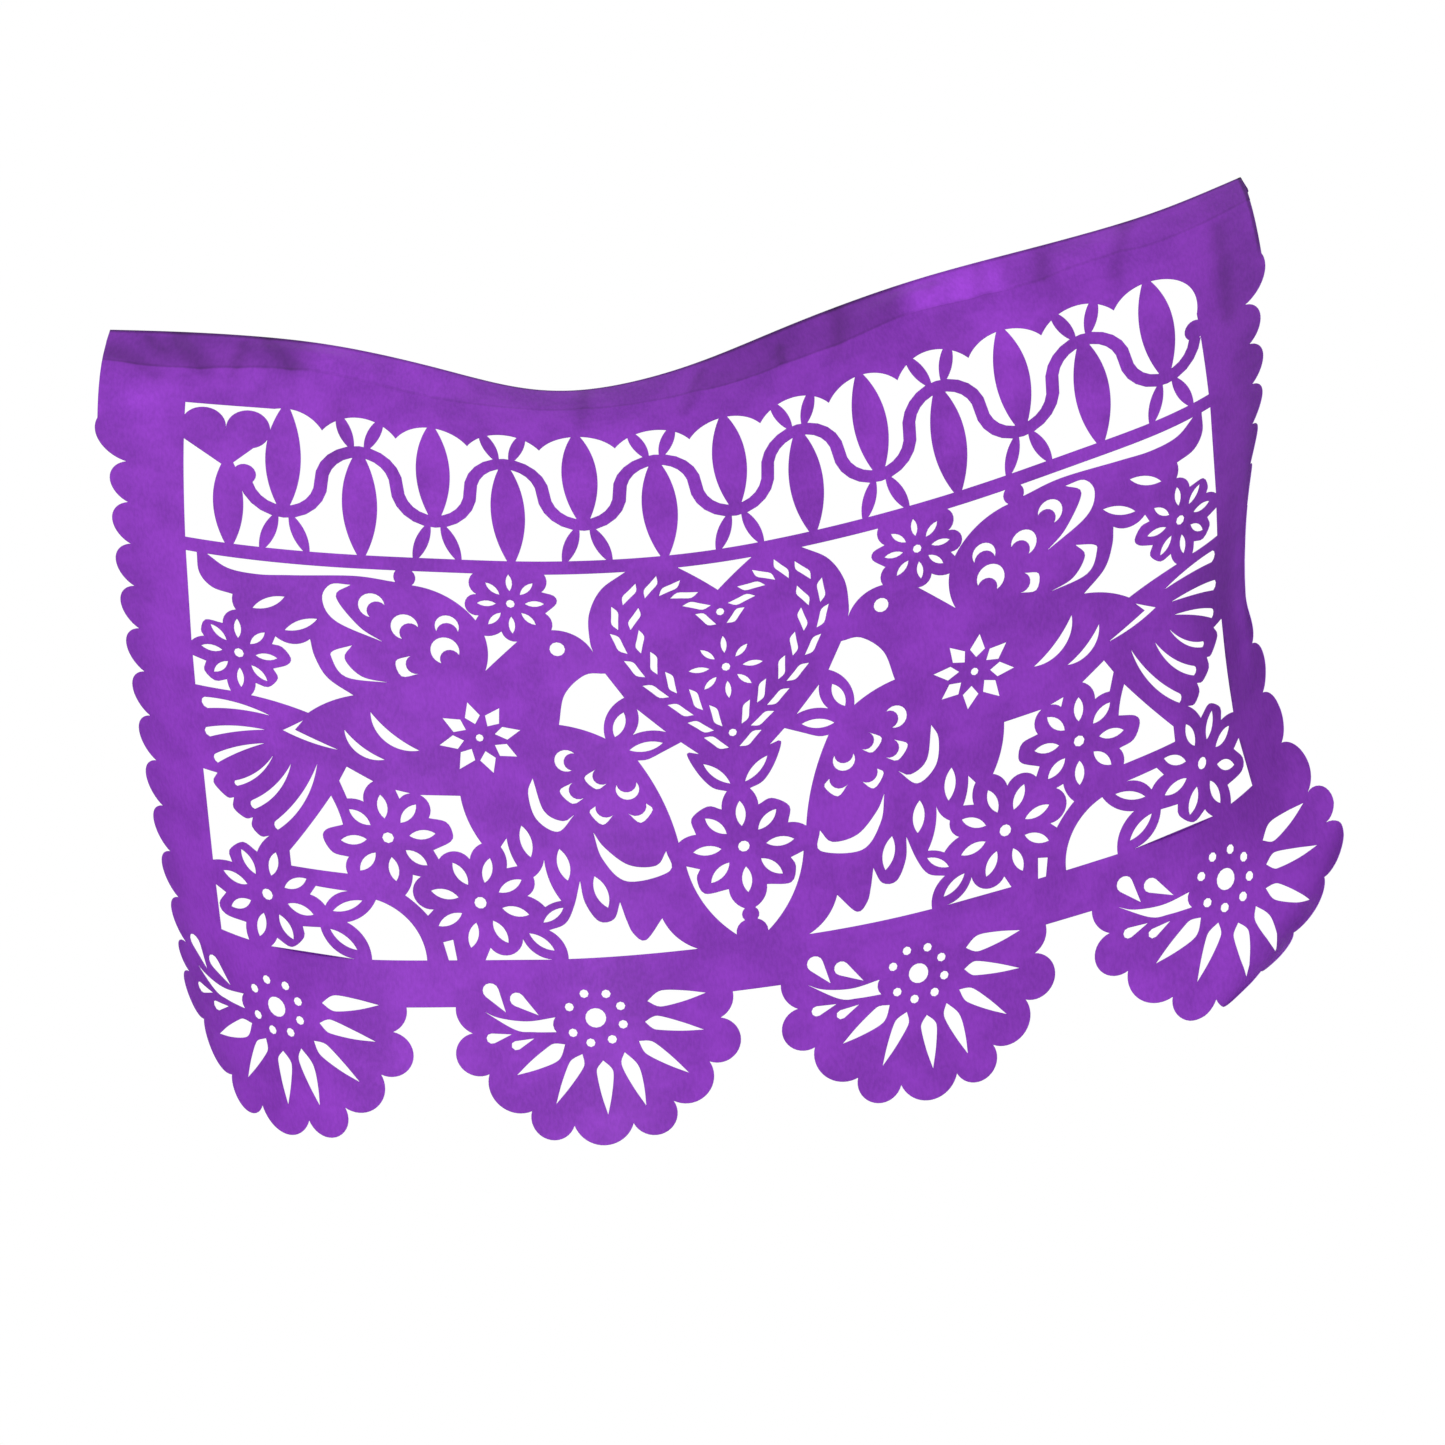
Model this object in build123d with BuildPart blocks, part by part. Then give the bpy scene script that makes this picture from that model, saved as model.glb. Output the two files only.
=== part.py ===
"""One hanging panel of cut tissue paper: bent sheet, cut-outs and the hem folded over at the top."""
from math import atan2, cos, exp, pi, radians, sin, sqrt, tanh
import os
from build123d import *

os.makedirs("parts", exist_ok=True)

# Driving dimensions in millimetres and degrees
PANEL_WIDTH = 450.0          # flat width, side edge to side edge
PANEL_DROP = 315.0           # flat height from the top fold to the tips of the petals
PAPER_THICKNESS = 0.3        # drawn thickness, real tissue is thinner
HEM_DEPTH = 16.5             # width of the strip folded to the back
HEM_INSET = 0.3              # the fold and the side ends of the strip lie this far inside the edge
HEM_MOUNT_DROP = 8.0         # the origin is this far below the fold
SCALLOP_PITCH = 17.97        # side scallops, notch to notch
SCALLOP_COUNT = 11
SCALLOP_DEPTH = 6.4
PETAL_PITCH = 115.0          # four round petals along the bottom
BAND_TOP = 50.0              # ornament band, centre line of its cloud edge
BAND_BOTTOM = 91.5
VINE_WIDTH = 5.0
VINE_RADIUS = 14.0
TOP_LEAN = 29.6              # how far the hem stands behind the sheet's plane
BOTTOM_LEAN = 15.0           # how far the bottom swings forward
VIEW_TURN = 16.7             # turn of the whole panel about the upright axis
RIM_CURL = 47.0              # right margin rolled back
CORNER_CURL = 70.0           # lower right rim bent back

DRAWN_WIDTH = 450.0          # size at which the pattern below is drawn
DRAWN_DROP = 315.0
MARGIN = 5.0                 # the smooth surface reaches this far past the sheet
SURFACE_COLUMNS = 36
SURFACE_ROWS = 24
CHORD_TURN = 55.0            # a round stretch gets a straight chord for each such turn
CHORD_BOW = 0.9              # and more of them where a chord would cut off more than this
LONGEST_CHORD = 18.0
ACROSS = PANEL_WIDTH / DRAWN_WIDTH
DOWN = PANEL_DROP / DRAWN_DROP

# Soft bends: place across, reach, turn, change of turn per 300 mm down, extra turn at the hem
BENDS = [
    (-200, 25, -4.0, -26.5, 9.5),
    (-150, 25, 6.5, -42.5, 11.0),
    (-100, 25, 3.5, 14.5, 4.5),
    (-50, 25, -23.0, -32.0, -41.0),
    (0, 25, -16.5, 18.5, 0.0),
    (50, 25, -2.5, -8.0, 9.5),
    (100, 25, -17.5, 17.5, 29.0),
    (150, 25, 12.0, -4.0, -15.0),
    (190, 18, -35.5, 45.0, 21.0),
]
START_HEADING = (-1.5, -11.5, -19.0)
STEP_ACROSS = 5.0
STEP_DOWN = 6.0
STEPS_ACROSS = 47
STEPS_DOWN = 56


def ease(x):
    """Smooth step from 0 to 1."""
    return 0.5 * (1 + tanh(x))


def heading(u, v):
    """Direction of a level line of the sheet, seen from above, at pattern point (u, v)."""
    s = v / 300
    hem = exp(-v / 55)
    turn = START_HEADING[0] + START_HEADING[1] * s + START_HEADING[2] * hem
    for place, reach, bend, change, extra in BENDS:
        share = ease((u - place) / reach) - ease(-place / reach)
        turn += share * (bend + change * s + extra * hem)
    spread = 111 if v < 223 else 72
    turn -= RIM_CURL * ease((u - 167) / 22) * exp(-(((v - 223) / spread) ** 2))
    turn -= CORNER_CURL * ease((u - 286 + 1.65 * (v - 245)) / 19) * ease((v - 200) / 25)
    return radians(turn)


def level_line(v):
    """Points along one level line of the sheet, from left to right."""
    lean = TOP_LEAN * exp(-v / 55) - BOTTOM_LEAN * (v / 300) ** 2
    middle = (-lean * sin(radians(VIEW_TURN)), lean * cos(radians(VIEW_TURN)))
    right = [middle]
    left = [middle]
    for k in range(STEPS_ACROSS):
        h = heading((k + 0.5) * STEP_ACROSS, v)
        right.append((right[-1][0] + STEP_ACROSS * cos(h), right[-1][1] + STEP_ACROSS * sin(h)))
        h = heading(-(k + 0.5) * STEP_ACROSS, v)
        left.append((left[-1][0] - STEP_ACROSS * cos(h), left[-1][1] - STEP_ACROSS * sin(h)))
    return left[:0:-1] + right


LINES = [level_line((j - 1) * STEP_DOWN) for j in range(STEPS_DOWN + 1)]
HEIGHTS = [[0.0] * len(LINES[0])]
for upper, lower in zip(LINES, LINES[1:]):
    drop = []
    for (x0, y0), (x1, y1), z in zip(upper, lower, HEIGHTS[-1]):
        drop.append(z - sqrt(max(STEP_DOWN ** 2 - (x1 - x0) ** 2 - (y1 - y0) ** 2, 1.0)))
    HEIGHTS.append(drop)


def raw_point(u, v):
    """Place of pattern point (u, v) in space, by interpolation between the level lines."""
    a = u / STEP_ACROSS + STEPS_ACROSS
    b = v / STEP_DOWN + 1
    i = min(max(int(a), 0), 2 * STEPS_ACROSS - 1)
    j = min(max(int(b), 0), STEPS_DOWN - 1)
    a -= i
    b -= j
    place = []
    for corner, weight in (
        ((j, i), (1 - a) * (1 - b)),
        ((j, i + 1), a * (1 - b)),
        ((j + 1, i), (1 - a) * b),
        ((j + 1, i + 1), a * b),
    ):
        row, column = corner
        x, y = LINES[row][column]
        place.append(Vector(x, y, HEIGHTS[row][column] - HEIGHTS[1][column]) * weight)
    return place[0] + place[1] + place[2] + place[3]


MOUNT = raw_point(0, HEM_MOUNT_DROP)


def sheet_point(u, v):
    """Place of drawn pattern point (u, v): u across from the middle, v down from the fold."""
    p = raw_point(u, v) - MOUNT
    return Vector(p.X * ACROSS, p.Y, p.Z * DOWN)


def sheet_normal(u, v):
    """Unit normal of the sheet, pointing to the back."""
    along = sheet_point(u + 1, v) - sheet_point(u - 1, v)
    down = sheet_point(u, v + 1) - sheet_point(u, v - 1)
    return down.cross(along).normalized()


# Openings drawn on the flat sheet, left half. An outline is a start point and strokes;
# a stroke of one point is straight, of two an arc through the first, of more a smooth curve
GAPS = [
    [[(-194, 97)], [(-190, 97)], [(-189.4, 105.1), (-185, 110.2), (-177.5, 111.8)],
     [(-177.8, 114), (-176.6, 117.9)], [(-180.3, 120.1), (-181.7, 124.2)],
     [(-188.1, 124), (-190, 128.4), (-189, 130.8)], [(-191.7, 131.9), (-194, 133.9)]],
    [[(-194, 139.8)], [(-188.9, 140.8)], [(-189.9, 144.8), (-186.1, 148), (-181.5, 146.5)],
     [(-181.1, 148.7), (-180.3, 150.8)], [(-194, 151.6)]],
    [[(-162.5, 126.4)], [(-156.1, 128.7), (-150, 126.2)],
     [(-148.6, 132.9), (-144.4, 140.7), (-135.4, 147.1)], [(-144.4, 150.1), (-152.1, 155)],
     [(-161.1, 152.6), (-172.8, 151.1)], [(-171.4, 149), (-170.8, 145.9)],
     [(-166.1, 146.8), (-162.4, 142.9), (-164, 139.3)],
     [(-158.6, 137.1), (-157.3, 134.3), (-160.3, 130.4), (-163.9, 129.7)]],
    [[(-186.4, 97)], [(-117.8, 97)], [(-118.7, 99.3), (-118.1, 101.8)],
     [(-133.3, 100.1), (-155.6, 101.6), (-168, 102.6), (-178.9, 101.6), (-186.4, 97)]],
    [[(-111.8, 97)], [(-89, 97)], [(-90.8, 100.7), (-88.1, 105.5)],
     [(-92.8, 109.3), (-87.9, 114.1)], [(-89.2, 116.2)],
     [(-97.2, 108.4), (-112.1, 102.9)], [(-110.6, 100), (-111.8, 97)]],
    [[(-86.3, 122.3)], [(-83.9, 122.3), (-79.7, 120.4)], [(-77.8, 123.4), (-74.1, 124.4)],
     [(-80.6, 130.4), (-86.9, 136.4)], [(-85.4, 128.4), (-86.3, 122.3)]],
    [[(-62.2, 97)], [(-32.8, 97)],
     [(-42.2, 104), (-47.2, 114), (-47.7, 124.6), (-46.8, 129.3)],
     [(-52.2, 122.6), (-61.1, 119.8)], [(-60.6, 117), (-62.9, 113)],
     [(-58.5, 109), (-59.2, 105.9), (-63.7, 104.3)], [(-61.5, 100.5), (-62.2, 97)]],
    [[(-61.3, 157.6)], [(-58.3, 145.7), (-50.6, 138.2), (-43.3, 137.9)],
     [(-37.4, 147.9)], [(-43.9, 154), (-45.3, 163.6)], [(-54.4, 159.3), (-61.3, 157.6)]],
    [[(-33.3, 152.8)], [(-23.8, 162.7)], [(-30, 161.6), (-35.6, 162.8)],
     [(-33.1, 157.5), (-33.3, 152.8)]],
    [[(-34.7, 172.9)], [(-31, 172.7), (-25, 170), (-18.9, 167.2)], [(-12.9, 172.6)],
     [(-17.2, 172), (-14.2, 179.7), (-9.4, 186.1), (-4.2, 188.3)],
     [(-5.8, 190.8), (-6.7, 195.1)], [(-11.7, 193.3), (-17.8, 197.4), (-16.7, 203.6)],
     [(-20, 204.1), (-23.1, 205.9)], [(-26.7, 190.8), (-34.7, 172.9)]],
    [[(-21.2, 215.2)], [(-16.4, 216.9)], [(-17.9, 220.5), (-15.6, 226.3), (-6.9, 225.7)],
     [(-5.2, 231), (-1.9, 233.7)], [(-3.1, 236.1), (-2.3, 238.1)],
     [(-4.6, 239.6), (-5.7, 243)], [(-13.3, 234.7), (-21.2, 215.2)]],
    [[(-83.9, 201.1)], [(-83.1, 205.8), (-80.7, 211.6)], [(-84.7, 212.4)],
     [(-84.7, 208), (-86.3, 204.4)], [(-83.9, 201.1)]],
    [[(-70.8, 209.1)], [(-69.5, 217), (-65.8, 224.8)], [(-68.9, 225.5), (-71.8, 227)],
     [(-74.2, 224.7), (-77.9, 222.8)], [(-75, 219), (-75.2, 215.8)],
     [(-72, 212.5), (-70.8, 209.1)]],
    [[(-58.6, 217.6)], [(-57.5, 225.8), (-53.3, 233), (-48, 232.6), (-45.4, 226.4)],
     [(-44, 232.5)], [(-42, 238.3), (-37.8, 241.4), (-31.4, 233.8)], [(-27.5, 240.8), (-19.9, 246.6)],
     [(-65, 246.6)], [(-67.2, 239.1), (-71.1, 235.7)],
     [(-65, 233.3), (-61.4, 226.9), (-58.6, 217.6)]],
    [[(-95, 246.6)], [(-92.8, 242)], [(-87.2, 244.9), (-80.8, 238.8)],
     [(-77, 244), (-70.8, 246.6)]],
    [[(-132.2, 224.4)], [(-121.7, 231.1), (-115.7, 246.6)], [(-135, 246.6)],
     [(-137.2, 238.6), (-143.1, 233.3)], [(-136.7, 230.2), (-132.2, 224.4)]],
    [[(-172.7, 246.6)], [(-171.1, 244.9), (-170, 242.9)],
     [(-164.4, 245.2), (-159.4, 240.8), (-159.6, 236.7)], [(-152.9, 236.1)],
     [(-149.5, 242.5), (-141.2, 246.6)]],
    [[(-153.6, 220.9)], [(-141.7, 221.7)], [(-147, 223.6), (-150.6, 227.9)],
     [(-153, 225.6), (-156, 224.4)]],
    [[(-145.7, 186.1)], [(-144, 190), (-142.1, 196.8)],
     [(-148.3, 199.1), (-149.6, 202.4), (-146.5, 207.5), (-140.8, 208.8)],
     [(-142, 211.5), (-141.6, 215.2)], [(-155.6, 214.7), (-162.3, 214.6)], [(-162.5, 209)],
     [(-152.8, 196.3), (-145.7, 186.1)]],
    [[(-139.4, 174.6)], [(-130.3, 179.8)], [(-133.9, 184.1), (-134.2, 187.7)],
     [(-137, 186.8), (-140, 186.8)], [(-142.4, 180.2)]],
    [[(-114.1, 184.8)], [(-99.6, 185.1)], [(-97.2, 195.2), (-93.1, 203.1)],
     [(-96.1, 205.2), (-97.9, 209.1)], [(-103.9, 206.1), (-109, 209.1)], [(-110.7, 205.7)],
     [(-104.2, 202.4), (-103.4, 199), (-105.5, 195), (-111.5, 193.6)],
     [(-110.7, 189.5), (-114.1, 184.8)]],
    [[(-118.6, 214.9)], [(-115.8, 215.6)], [(-119, 220.8), (-112.1, 227.8)],
     [(-114.3, 230.1)], [(-117.8, 226.1), (-121.8, 222.6)], [(-119.3, 218.5), (-118.6, 214.9)]],
    [[(-194, 184.7)], [(-188.3, 184.8)], [(-190.2, 189), (-185.3, 193.3), (-182.5, 192.8)],
     [(-183, 197), (-178.6, 199.8), (-175.7, 198.9)],
     [(-176.3, 202.5), (-173.1, 205.5), (-169.9, 204.7)], [(-173, 208), (-175.2, 211.9)],
     [(-180.6, 209.4), (-186.4, 214), (-185.7, 218.4)], [(-190, 218.8), (-194, 220.1)]],
    [[(-194, 229.4)], [(-189.7, 231.1)], [(-193.3, 236.3), (-191.1, 239.7), (-182.3, 240.1)],
     [(-182.5, 243.6), (-181.7, 246.6)], [(-194, 246.6)]],
]
# Notch between the two lobes of the heart, on the middle line
HEART_NOTCH = [[(-13.9, 97)], [(13.9, 97)], [(7.2, 102.1), (0, 108.4)],
               [(-7.2, 102.1), (-13.9, 97)]]
# Crescents of the wings: tip, outer curve, inner curve back to the tip
CRESCENTS = [
    [[(-134.4, 103.7)], [(-141.7, 104), (-145, 110.1), (-140.6, 118.4), (-123.6, 126.1)],
     [(-132.2, 120.1), (-140, 108.7), (-134.4, 103.7)]],
    [[(-135, 127.7)], [(-141.7, 130.1), (-142.6, 132.9), (-137.8, 140.1), (-122.3, 141.9)],
     [(-132.2, 139.6), (-137.9, 132.9), (-135, 127.7)]],
    [[(-122.5, 111.3)], [(-132.1, 111.2), (-128.1, 116.3)], [(-128.6, 111.8), (-122.5, 111.3)]],
    [[(-110.7, 119.8)], [(-120.7, 120.1), (-116.8, 124.6)], [(-116.9, 119.8), (-110.7, 119.8)]],
    [[(-96.1, 121.1)], [(-100.6, 114.6), (-104.1, 121.1)], [(-100.6, 117.7), (-96.1, 121.1)]],
    [[(-96.3, 130.4)], [(-106.6, 130.1), (-103.1, 133.9)], [(-102.8, 130.1), (-96.3, 130.4)]],
    [[(-114.2, 131.2)], [(-119.6, 133.4), (-117.8, 139.3), (-111.5, 138.2)],
     [(-115.8, 135.9), (-114.2, 131.2)]],
    [[(-56.7, 168.9)], [(-64.1, 171.6), (-58.1, 175.5)], [(-60.8, 171.9), (-56.7, 168.9)]],
    [[(-49.2, 175.1)], [(-53.9, 178.6), (-50, 183.1), (-46.2, 181.1)],
     [(-51, 178.6), (-49.2, 175.1)]],
    [[(-58.3, 180.2)], [(-63.1, 183.3), (-58.9, 188.3), (-54.6, 186.2)],
     [(-59.7, 184.1), (-58.3, 180.2)]],
    [[(-42.9, 181.9)], [(-39.4, 187.8), (-35.9, 181.3)], [(-39.4, 184.9), (-42.9, 181.9)]],
    [[(-50.9, 189.6)], [(-53.1, 191.9), (-48.9, 196.8), (-44.1, 192.3)],
     [(-48.1, 194), (-50.9, 189.6)]],
    [[(-33.2, 189.7)], [(-31.1, 192.4), (-35.6, 197), (-40, 192.7)],
     [(-36.1, 194.1), (-33.2, 189.7)]],
    [[(-72.6, 178.3)], [(-74.7, 184.1), (-72.5, 193.8), (-65, 198.8), (-58.5, 192.4)],
     [(-62.8, 194.8), (-69.4, 190.8), (-72.6, 178.3)]],
    [[(-52.5, 199.4)], [(-50, 209.9), (-42.2, 218.8), (-27.2, 216.3), (-27.8, 208.6)],
     [(-31.7, 213.7), (-41.1, 212.7), (-49, 205.5), (-52.5, 199.4)]],
]
# Slits of the body, the tail and its root
SLITS = [
    [[(-161.8, 162.9)], [(-154.2, 158.2)], [(-157.3, 162.1)], [(-141.9, 168.4)],
     [(-150, 166.8), (-161.8, 162.9)]],
    [[(-139.4, 160.4)], [(-135.6, 164.8), (-125.6, 171.5)], [(-134.4, 169.8), (-139.4, 160.4)]],
    [[(-129.7, 153.3)], [(-125, 159), (-113.1, 167.9)], [(-125.6, 164), (-129.7, 153.3)]],
    [[(-166, 158)], [(-183.3, 154.9), (-190.8, 155.7)], [(-192.1, 157.5), (-190, 160)],
     [(-178, 157.7), (-166, 158)]],
    [[(-168.3, 163.8)], [(-176, 163.9), (-190, 167.3)], [(-191.9, 169.3), (-190, 171.2)],
     [(-178.9, 166.5), (-168.3, 163.8)]],
    [[(-168.9, 169.1)], [(-176.1, 171.1), (-188.1, 177.2)], [(-189.2, 179.1), (-187.8, 180.8)],
     [(-178.5, 174.2), (-168.9, 169.1)]],
    [[(-166.1, 173.3)], [(-173.3, 181.3), (-180.8, 185.8)], [(-181.8, 186.6), (-180.8, 188)],
     [(-173, 182.9), (-166.1, 173.3)]],
    [[(-159.6, 175.5)], [(-165.6, 184.1), (-175.3, 192.2)], [(-176.2, 193.6), (-174.7, 195.5)],
     [(-166.7, 188.9), (-159.6, 175.5)]],
    [[(-150, 174.4)], [(-155.6, 185.2), (-166.7, 198.3)], [(-167.6, 199.8), (-166.4, 201.8)],
     [(-157, 191.7), (-150, 174.4)]],
]
# Lens slits of the leaves: tip, tip, width
LEAVES = [
    (-170.4, 116.3, -158.6, 110.4, 3.6), (-159, 123.6, -147.1, 118.1, 3.4),
    (-78.1, 196.3, -75.6, 208.3, 4.2), (-65, 205.3, -62.9, 217.3, 4.4),
    (-53.4, 216.1, -49.7, 228.2, 4.4), (-38.1, 153.7, -41.9, 163.2, 4.0),
    (-37.3, 168.7, -25.3, 166.8, 3.6), (-11.7, 176.7, -2.7, 185.5, 3.2),
    (-72.9, 232.8, -65.3, 227.4, 2.8), (-78.4, 236.7, -69.7, 243.3, 3.2),
    (-147.9, 229.6, -137.1, 224.9, 3.0), (-149.4, 236.3, -140, 243.3, 3.2),
]
# Flowers of eight lens slits: place, turn, inner and outer radius, slit width
FLOWERS = [
    (-176.3, 135, 0, 6.1, 14.1, 2.6), (-75.6, 109.1, 0, 5.4, 12.6, 2.4),
    (-126.4, 201.1, -6, 7.6, 17, 3.6), (-95.2, 225.3, 15, 8, 18, 3.6),
    (-172.5, 227.3, 15, 8, 18, 3.6),
]
HEART_FLOWER = (0, 210.2, 0, 8.1, 18.3, 3.6)
FLOWER_FLATTENING = 0.96
# Star in the breast: eight kites
STAR = [
    [(-94.6, 149), (-90.3, 154), (-92.3, 157.5), (-95.9, 155.2)],
    [(-82.9, 151.1), (-83.4, 157.2), (-87.8, 158.3), (-88.4, 154.1)],
    [(-75.7, 159.6), (-80.8, 163.4), (-85.3, 161.3), (-82.3, 158.4)],
    [(-77.6, 169.9), (-84, 169.7), (-85.6, 165.5), (-81.1, 165)],
    [(-86.8, 176.3), (-91.4, 171.6), (-89.2, 167.9), (-85.6, 170.4)],
    [(-99.1, 174.9), (-93.2, 171.4), (-94.2, 167.1), (-98.3, 168.4)],
    [(-105.8, 165.8), (-100.7, 161.9), (-96.8, 163.9), (-99.3, 167.2)],
    [(-104.1, 155.3), (-97.6, 155.8), (-95.8, 159.8), (-100.4, 160.7)],
]
EYE = (-59.6, 127.5, 2.8)
# One petal of the bottom edge, drawn about its own centre
PETAL_DROP = 268.8
PETAL_HOLE = 3.6
RAYS = [
    [[(18.2, -4.8)], [(24.8, -8.5), (38.8, -5.7)], [(24.8, -2.3), (18.2, -4.8)]],
    [[(16.7, 2.7)], [(21.8, 0.7), (36.8, 7.7)], [(22.2, 6.2), (16.7, 2.7)]],
    [[(14, 9.5)], [(20.7, 10.7), (30, 22.7)], [(17.5, 15.5), (14, 9.5)]],
    [[(8.8, 13.2)], [(14.3, 20.5), (14.3, 33)], [(7.8, 19.9), (8.8, 13.2)]],
    [[(1.2, 15.7)], [(4.5, 21.2), (1.2, 35.3)], [(-1.5, 21.2), (1.2, 15.7)]],
    [[(-5.8, 13)], [(-6.3, 19.5), (-16.6, 30.7)], [(-11.2, 16.5), (-5.8, 13)]],
    [[(-11.6, 9.2)], [(-16, 16.5), (-29.8, 20.1)], [(-18.5, 10.2), (-11.6, 9.2)]],
]
# Lobes of the petal between its notches: way point, notch
LOBES = [
    [(-50.8, 12.2), (-39.7, 19.7)], [(-37.4, 30.5), (-25.6, 33.2)],
    [(-21.5, 43), (-10.8, 38.7)], [(-0.3, 46.2), (9.5, 39)],
    [(19, 43.6), (23.8, 32.3)], [(36, 30.7), (37.6, 19.5)],
    [(49.3, 13.7), (43, 4)],
]
LEFT_NOTCH = (-44.3, 4.7)
INNER_TOP = (48.3, -5)
EDGE_BETWEEN_PETALS = 263.8


def add_strokes(start, strokes):
    """Draw the strokes of one outline and return the last point."""
    here = start
    for stroke in strokes:
        if len(stroke) == 1:
            Line(here, stroke[0])
        elif len(stroke) == 2:
            ThreePointArc(here, stroke[0], stroke[1])
        else:
            Spline(here, *stroke)
        here = stroke[-1]
    return here


def outline(strokes, place=(0, 0), flip=1):
    """Closed flat wire from a start point and strokes, shifted and perhaps mirrored."""
    moved = []
    for stroke in strokes:
        moved.append([(flip * x + place[0], y + place[1]) for x, y in stroke])
    start = moved[0][0]
    with BuildLine() as path:
        here = add_strokes(start, moved[1:])
        if here != start:
            Line(here, start)
    return Wire(path.edges())


def lens(x0, y0, x1, y1, width):
    """Pointed slit between two tips."""
    length = sqrt((x1 - x0) ** 2 + (y1 - y0) ** 2)
    nx = (y1 - y0) / length * width / 2
    ny = (x0 - x1) / length * width / 2
    mx = (x0 + x1) / 2
    my = (y0 + y1) / 2
    return [[(x0, y0)], [(mx + nx, my + ny), (x1, y1)], [(mx - nx, my - ny), (x0, y0)]]


def flower(x, y, turn, inner, outer, width):
    """Eight slits around a flower's middle."""
    slits = []
    for k in range(8):
        a = radians(turn + 45 * k)
        dx = cos(a)
        dy = sin(a) * FLOWER_FLATTENING
        slits.append(lens(x + inner * dx, y + inner * dy, x + outer * dx, y + outer * dy, width))
    return slits


def disc(x, y, radius):
    """Round hole as two half circles."""
    upper = [(x, y - radius), (x + radius, y)]
    lower = [(x, y + radius), (x - radius, y)]
    return [[(x - radius, y)], upper, lower]


def smooth_sheet():
    """The bent surface with a margin all round."""
    rows = []
    for j in range(SURFACE_ROWS + 1):
        v = j / SURFACE_ROWS * (DRAWN_DROP + 2 * MARGIN) - MARGIN
        row = []
        for i in range(SURFACE_COLUMNS + 1):
            u = (i / SURFACE_COLUMNS - 0.5) * (DRAWN_WIDTH + 2 * MARGIN)
            row.append(sheet_point(u, v))
        rows.append(row)
    return Face.make_surface_from_array_of_points(rows, tol=0.05, min_deg=3, max_deg=5)


surface = smooth_sheet()


def surface_point(u, v):
    """Place on the smooth surface of drawn pattern point (u, v)."""
    across = u / (DRAWN_WIDTH + 2 * MARGIN) + 0.5
    down = (v + MARGIN) / (DRAWN_DROP + 2 * MARGIN)
    return surface.position_at(down, across)


def chord_count(edge):
    """How many straight chords a stroke needs, by its turn, its bow and its length."""
    tangents = [edge.tangent_at(k / 12) for k in range(13)]
    turn = sum(tangents[k].get_angle(tangents[k + 1]) for k in range(12))
    by_bow = sqrt(edge.length * radians(turn) / (8 * CHORD_BOW))
    counts = [turn / CHORD_TURN, by_bow, edge.length / LONGEST_CHORD]
    return max(1, round(max(counts) + 0.35))


def chord_on_sheet(start, finish):
    """Straight stretch of the flat pattern laid on the smooth surface."""
    ends = [surface_point(*start), surface_point(*finish)]
    middle = surface_point((start[0] + finish[0]) / 2, (start[1] + finish[1]) / 2)
    bow = middle - (ends[0] + ends[1]) / 2
    if bow.length < 0.01:
        return Line(*ends).edge()
    return Bezier(ends[0], middle + bow, ends[1]).edge()


def on_sheet(wire):
    """The outline laid on the smooth surface in short chords."""
    corners = []
    for edge in wire.order_edges():
        count = chord_count(edge)
        for k in range(count):
            p = edge.position_at(k / count)
            corners.append((p.X, p.Y))
    following = corners[1:] + corners[:1]
    return Wire([chord_on_sheet(*ends) for ends in zip(corners, following)])


def leaf(x0, y0, x1, y1, width):
    """Paper leaf between two tips, filled."""
    return Face(outline(lens(x0, y0, x1, y1, width)))


def band_gaps():
    """Gaps of the ornament band: a running vine with leaves under a cloud-shaped edge."""
    middle = BAND_BOTTOM - 2 * VINE_RADIUS - 1.5
    places = [-158 + 2 * VINE_RADIUS * k for k in range(13)]
    with BuildSketch() as band:
        with Locations((0, (BAND_TOP + BAND_BOTTOM) / 2)):
            Rectangle(388, BAND_BOTTOM - BAND_TOP)
        with Locations((-177, (33.5 + BAND_BOTTOM) / 2)):
            Rectangle(34, BAND_BOTTOM - 33.5)
        with Locations(*[(x, BAND_TOP) for x in places]):
            Circle(VINE_RADIUS + 3)
        with Locations((0, 62)):
            Rectangle(388, 80, mode=Mode.INTERSECT)
        with BuildSketch(mode=Mode.SUBTRACT):
            with BuildLine() as path:
                for k, x in enumerate(places):
                    side = 1 if k % 2 == 0 else -1
                    ThreePointArc(
                        (x - VINE_RADIUS, middle),
                        (x, middle + side * VINE_RADIUS),
                        (x + VINE_RADIUS, middle),
                    )
            trace(path.edges(), line_width=VINE_WIDTH)
            for k, x in enumerate(places):
                if k % 2 == 0:
                    add(leaf(x, 30, x, middle + VINE_RADIUS + 2, 13))
                else:
                    add(leaf(x, BAND_BOTTOM + 3, x, middle - VINE_RADIUS - 2, 13))
            add(leaf(-178, 54, -178, BAND_BOTTOM + 3, 11))
            with Locations((-186.5, 43), (-171.5, 43)):
                Circle(8)
            heart_point = [[(-197, 42)], [(-195, 49)], [(-178.5, 60)], [(-164.5, 46.5)], [(-179, 38)]]
            add(Face(outline(heart_point)))
    return [face.outer_wire() for face in band.faces()]


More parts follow.
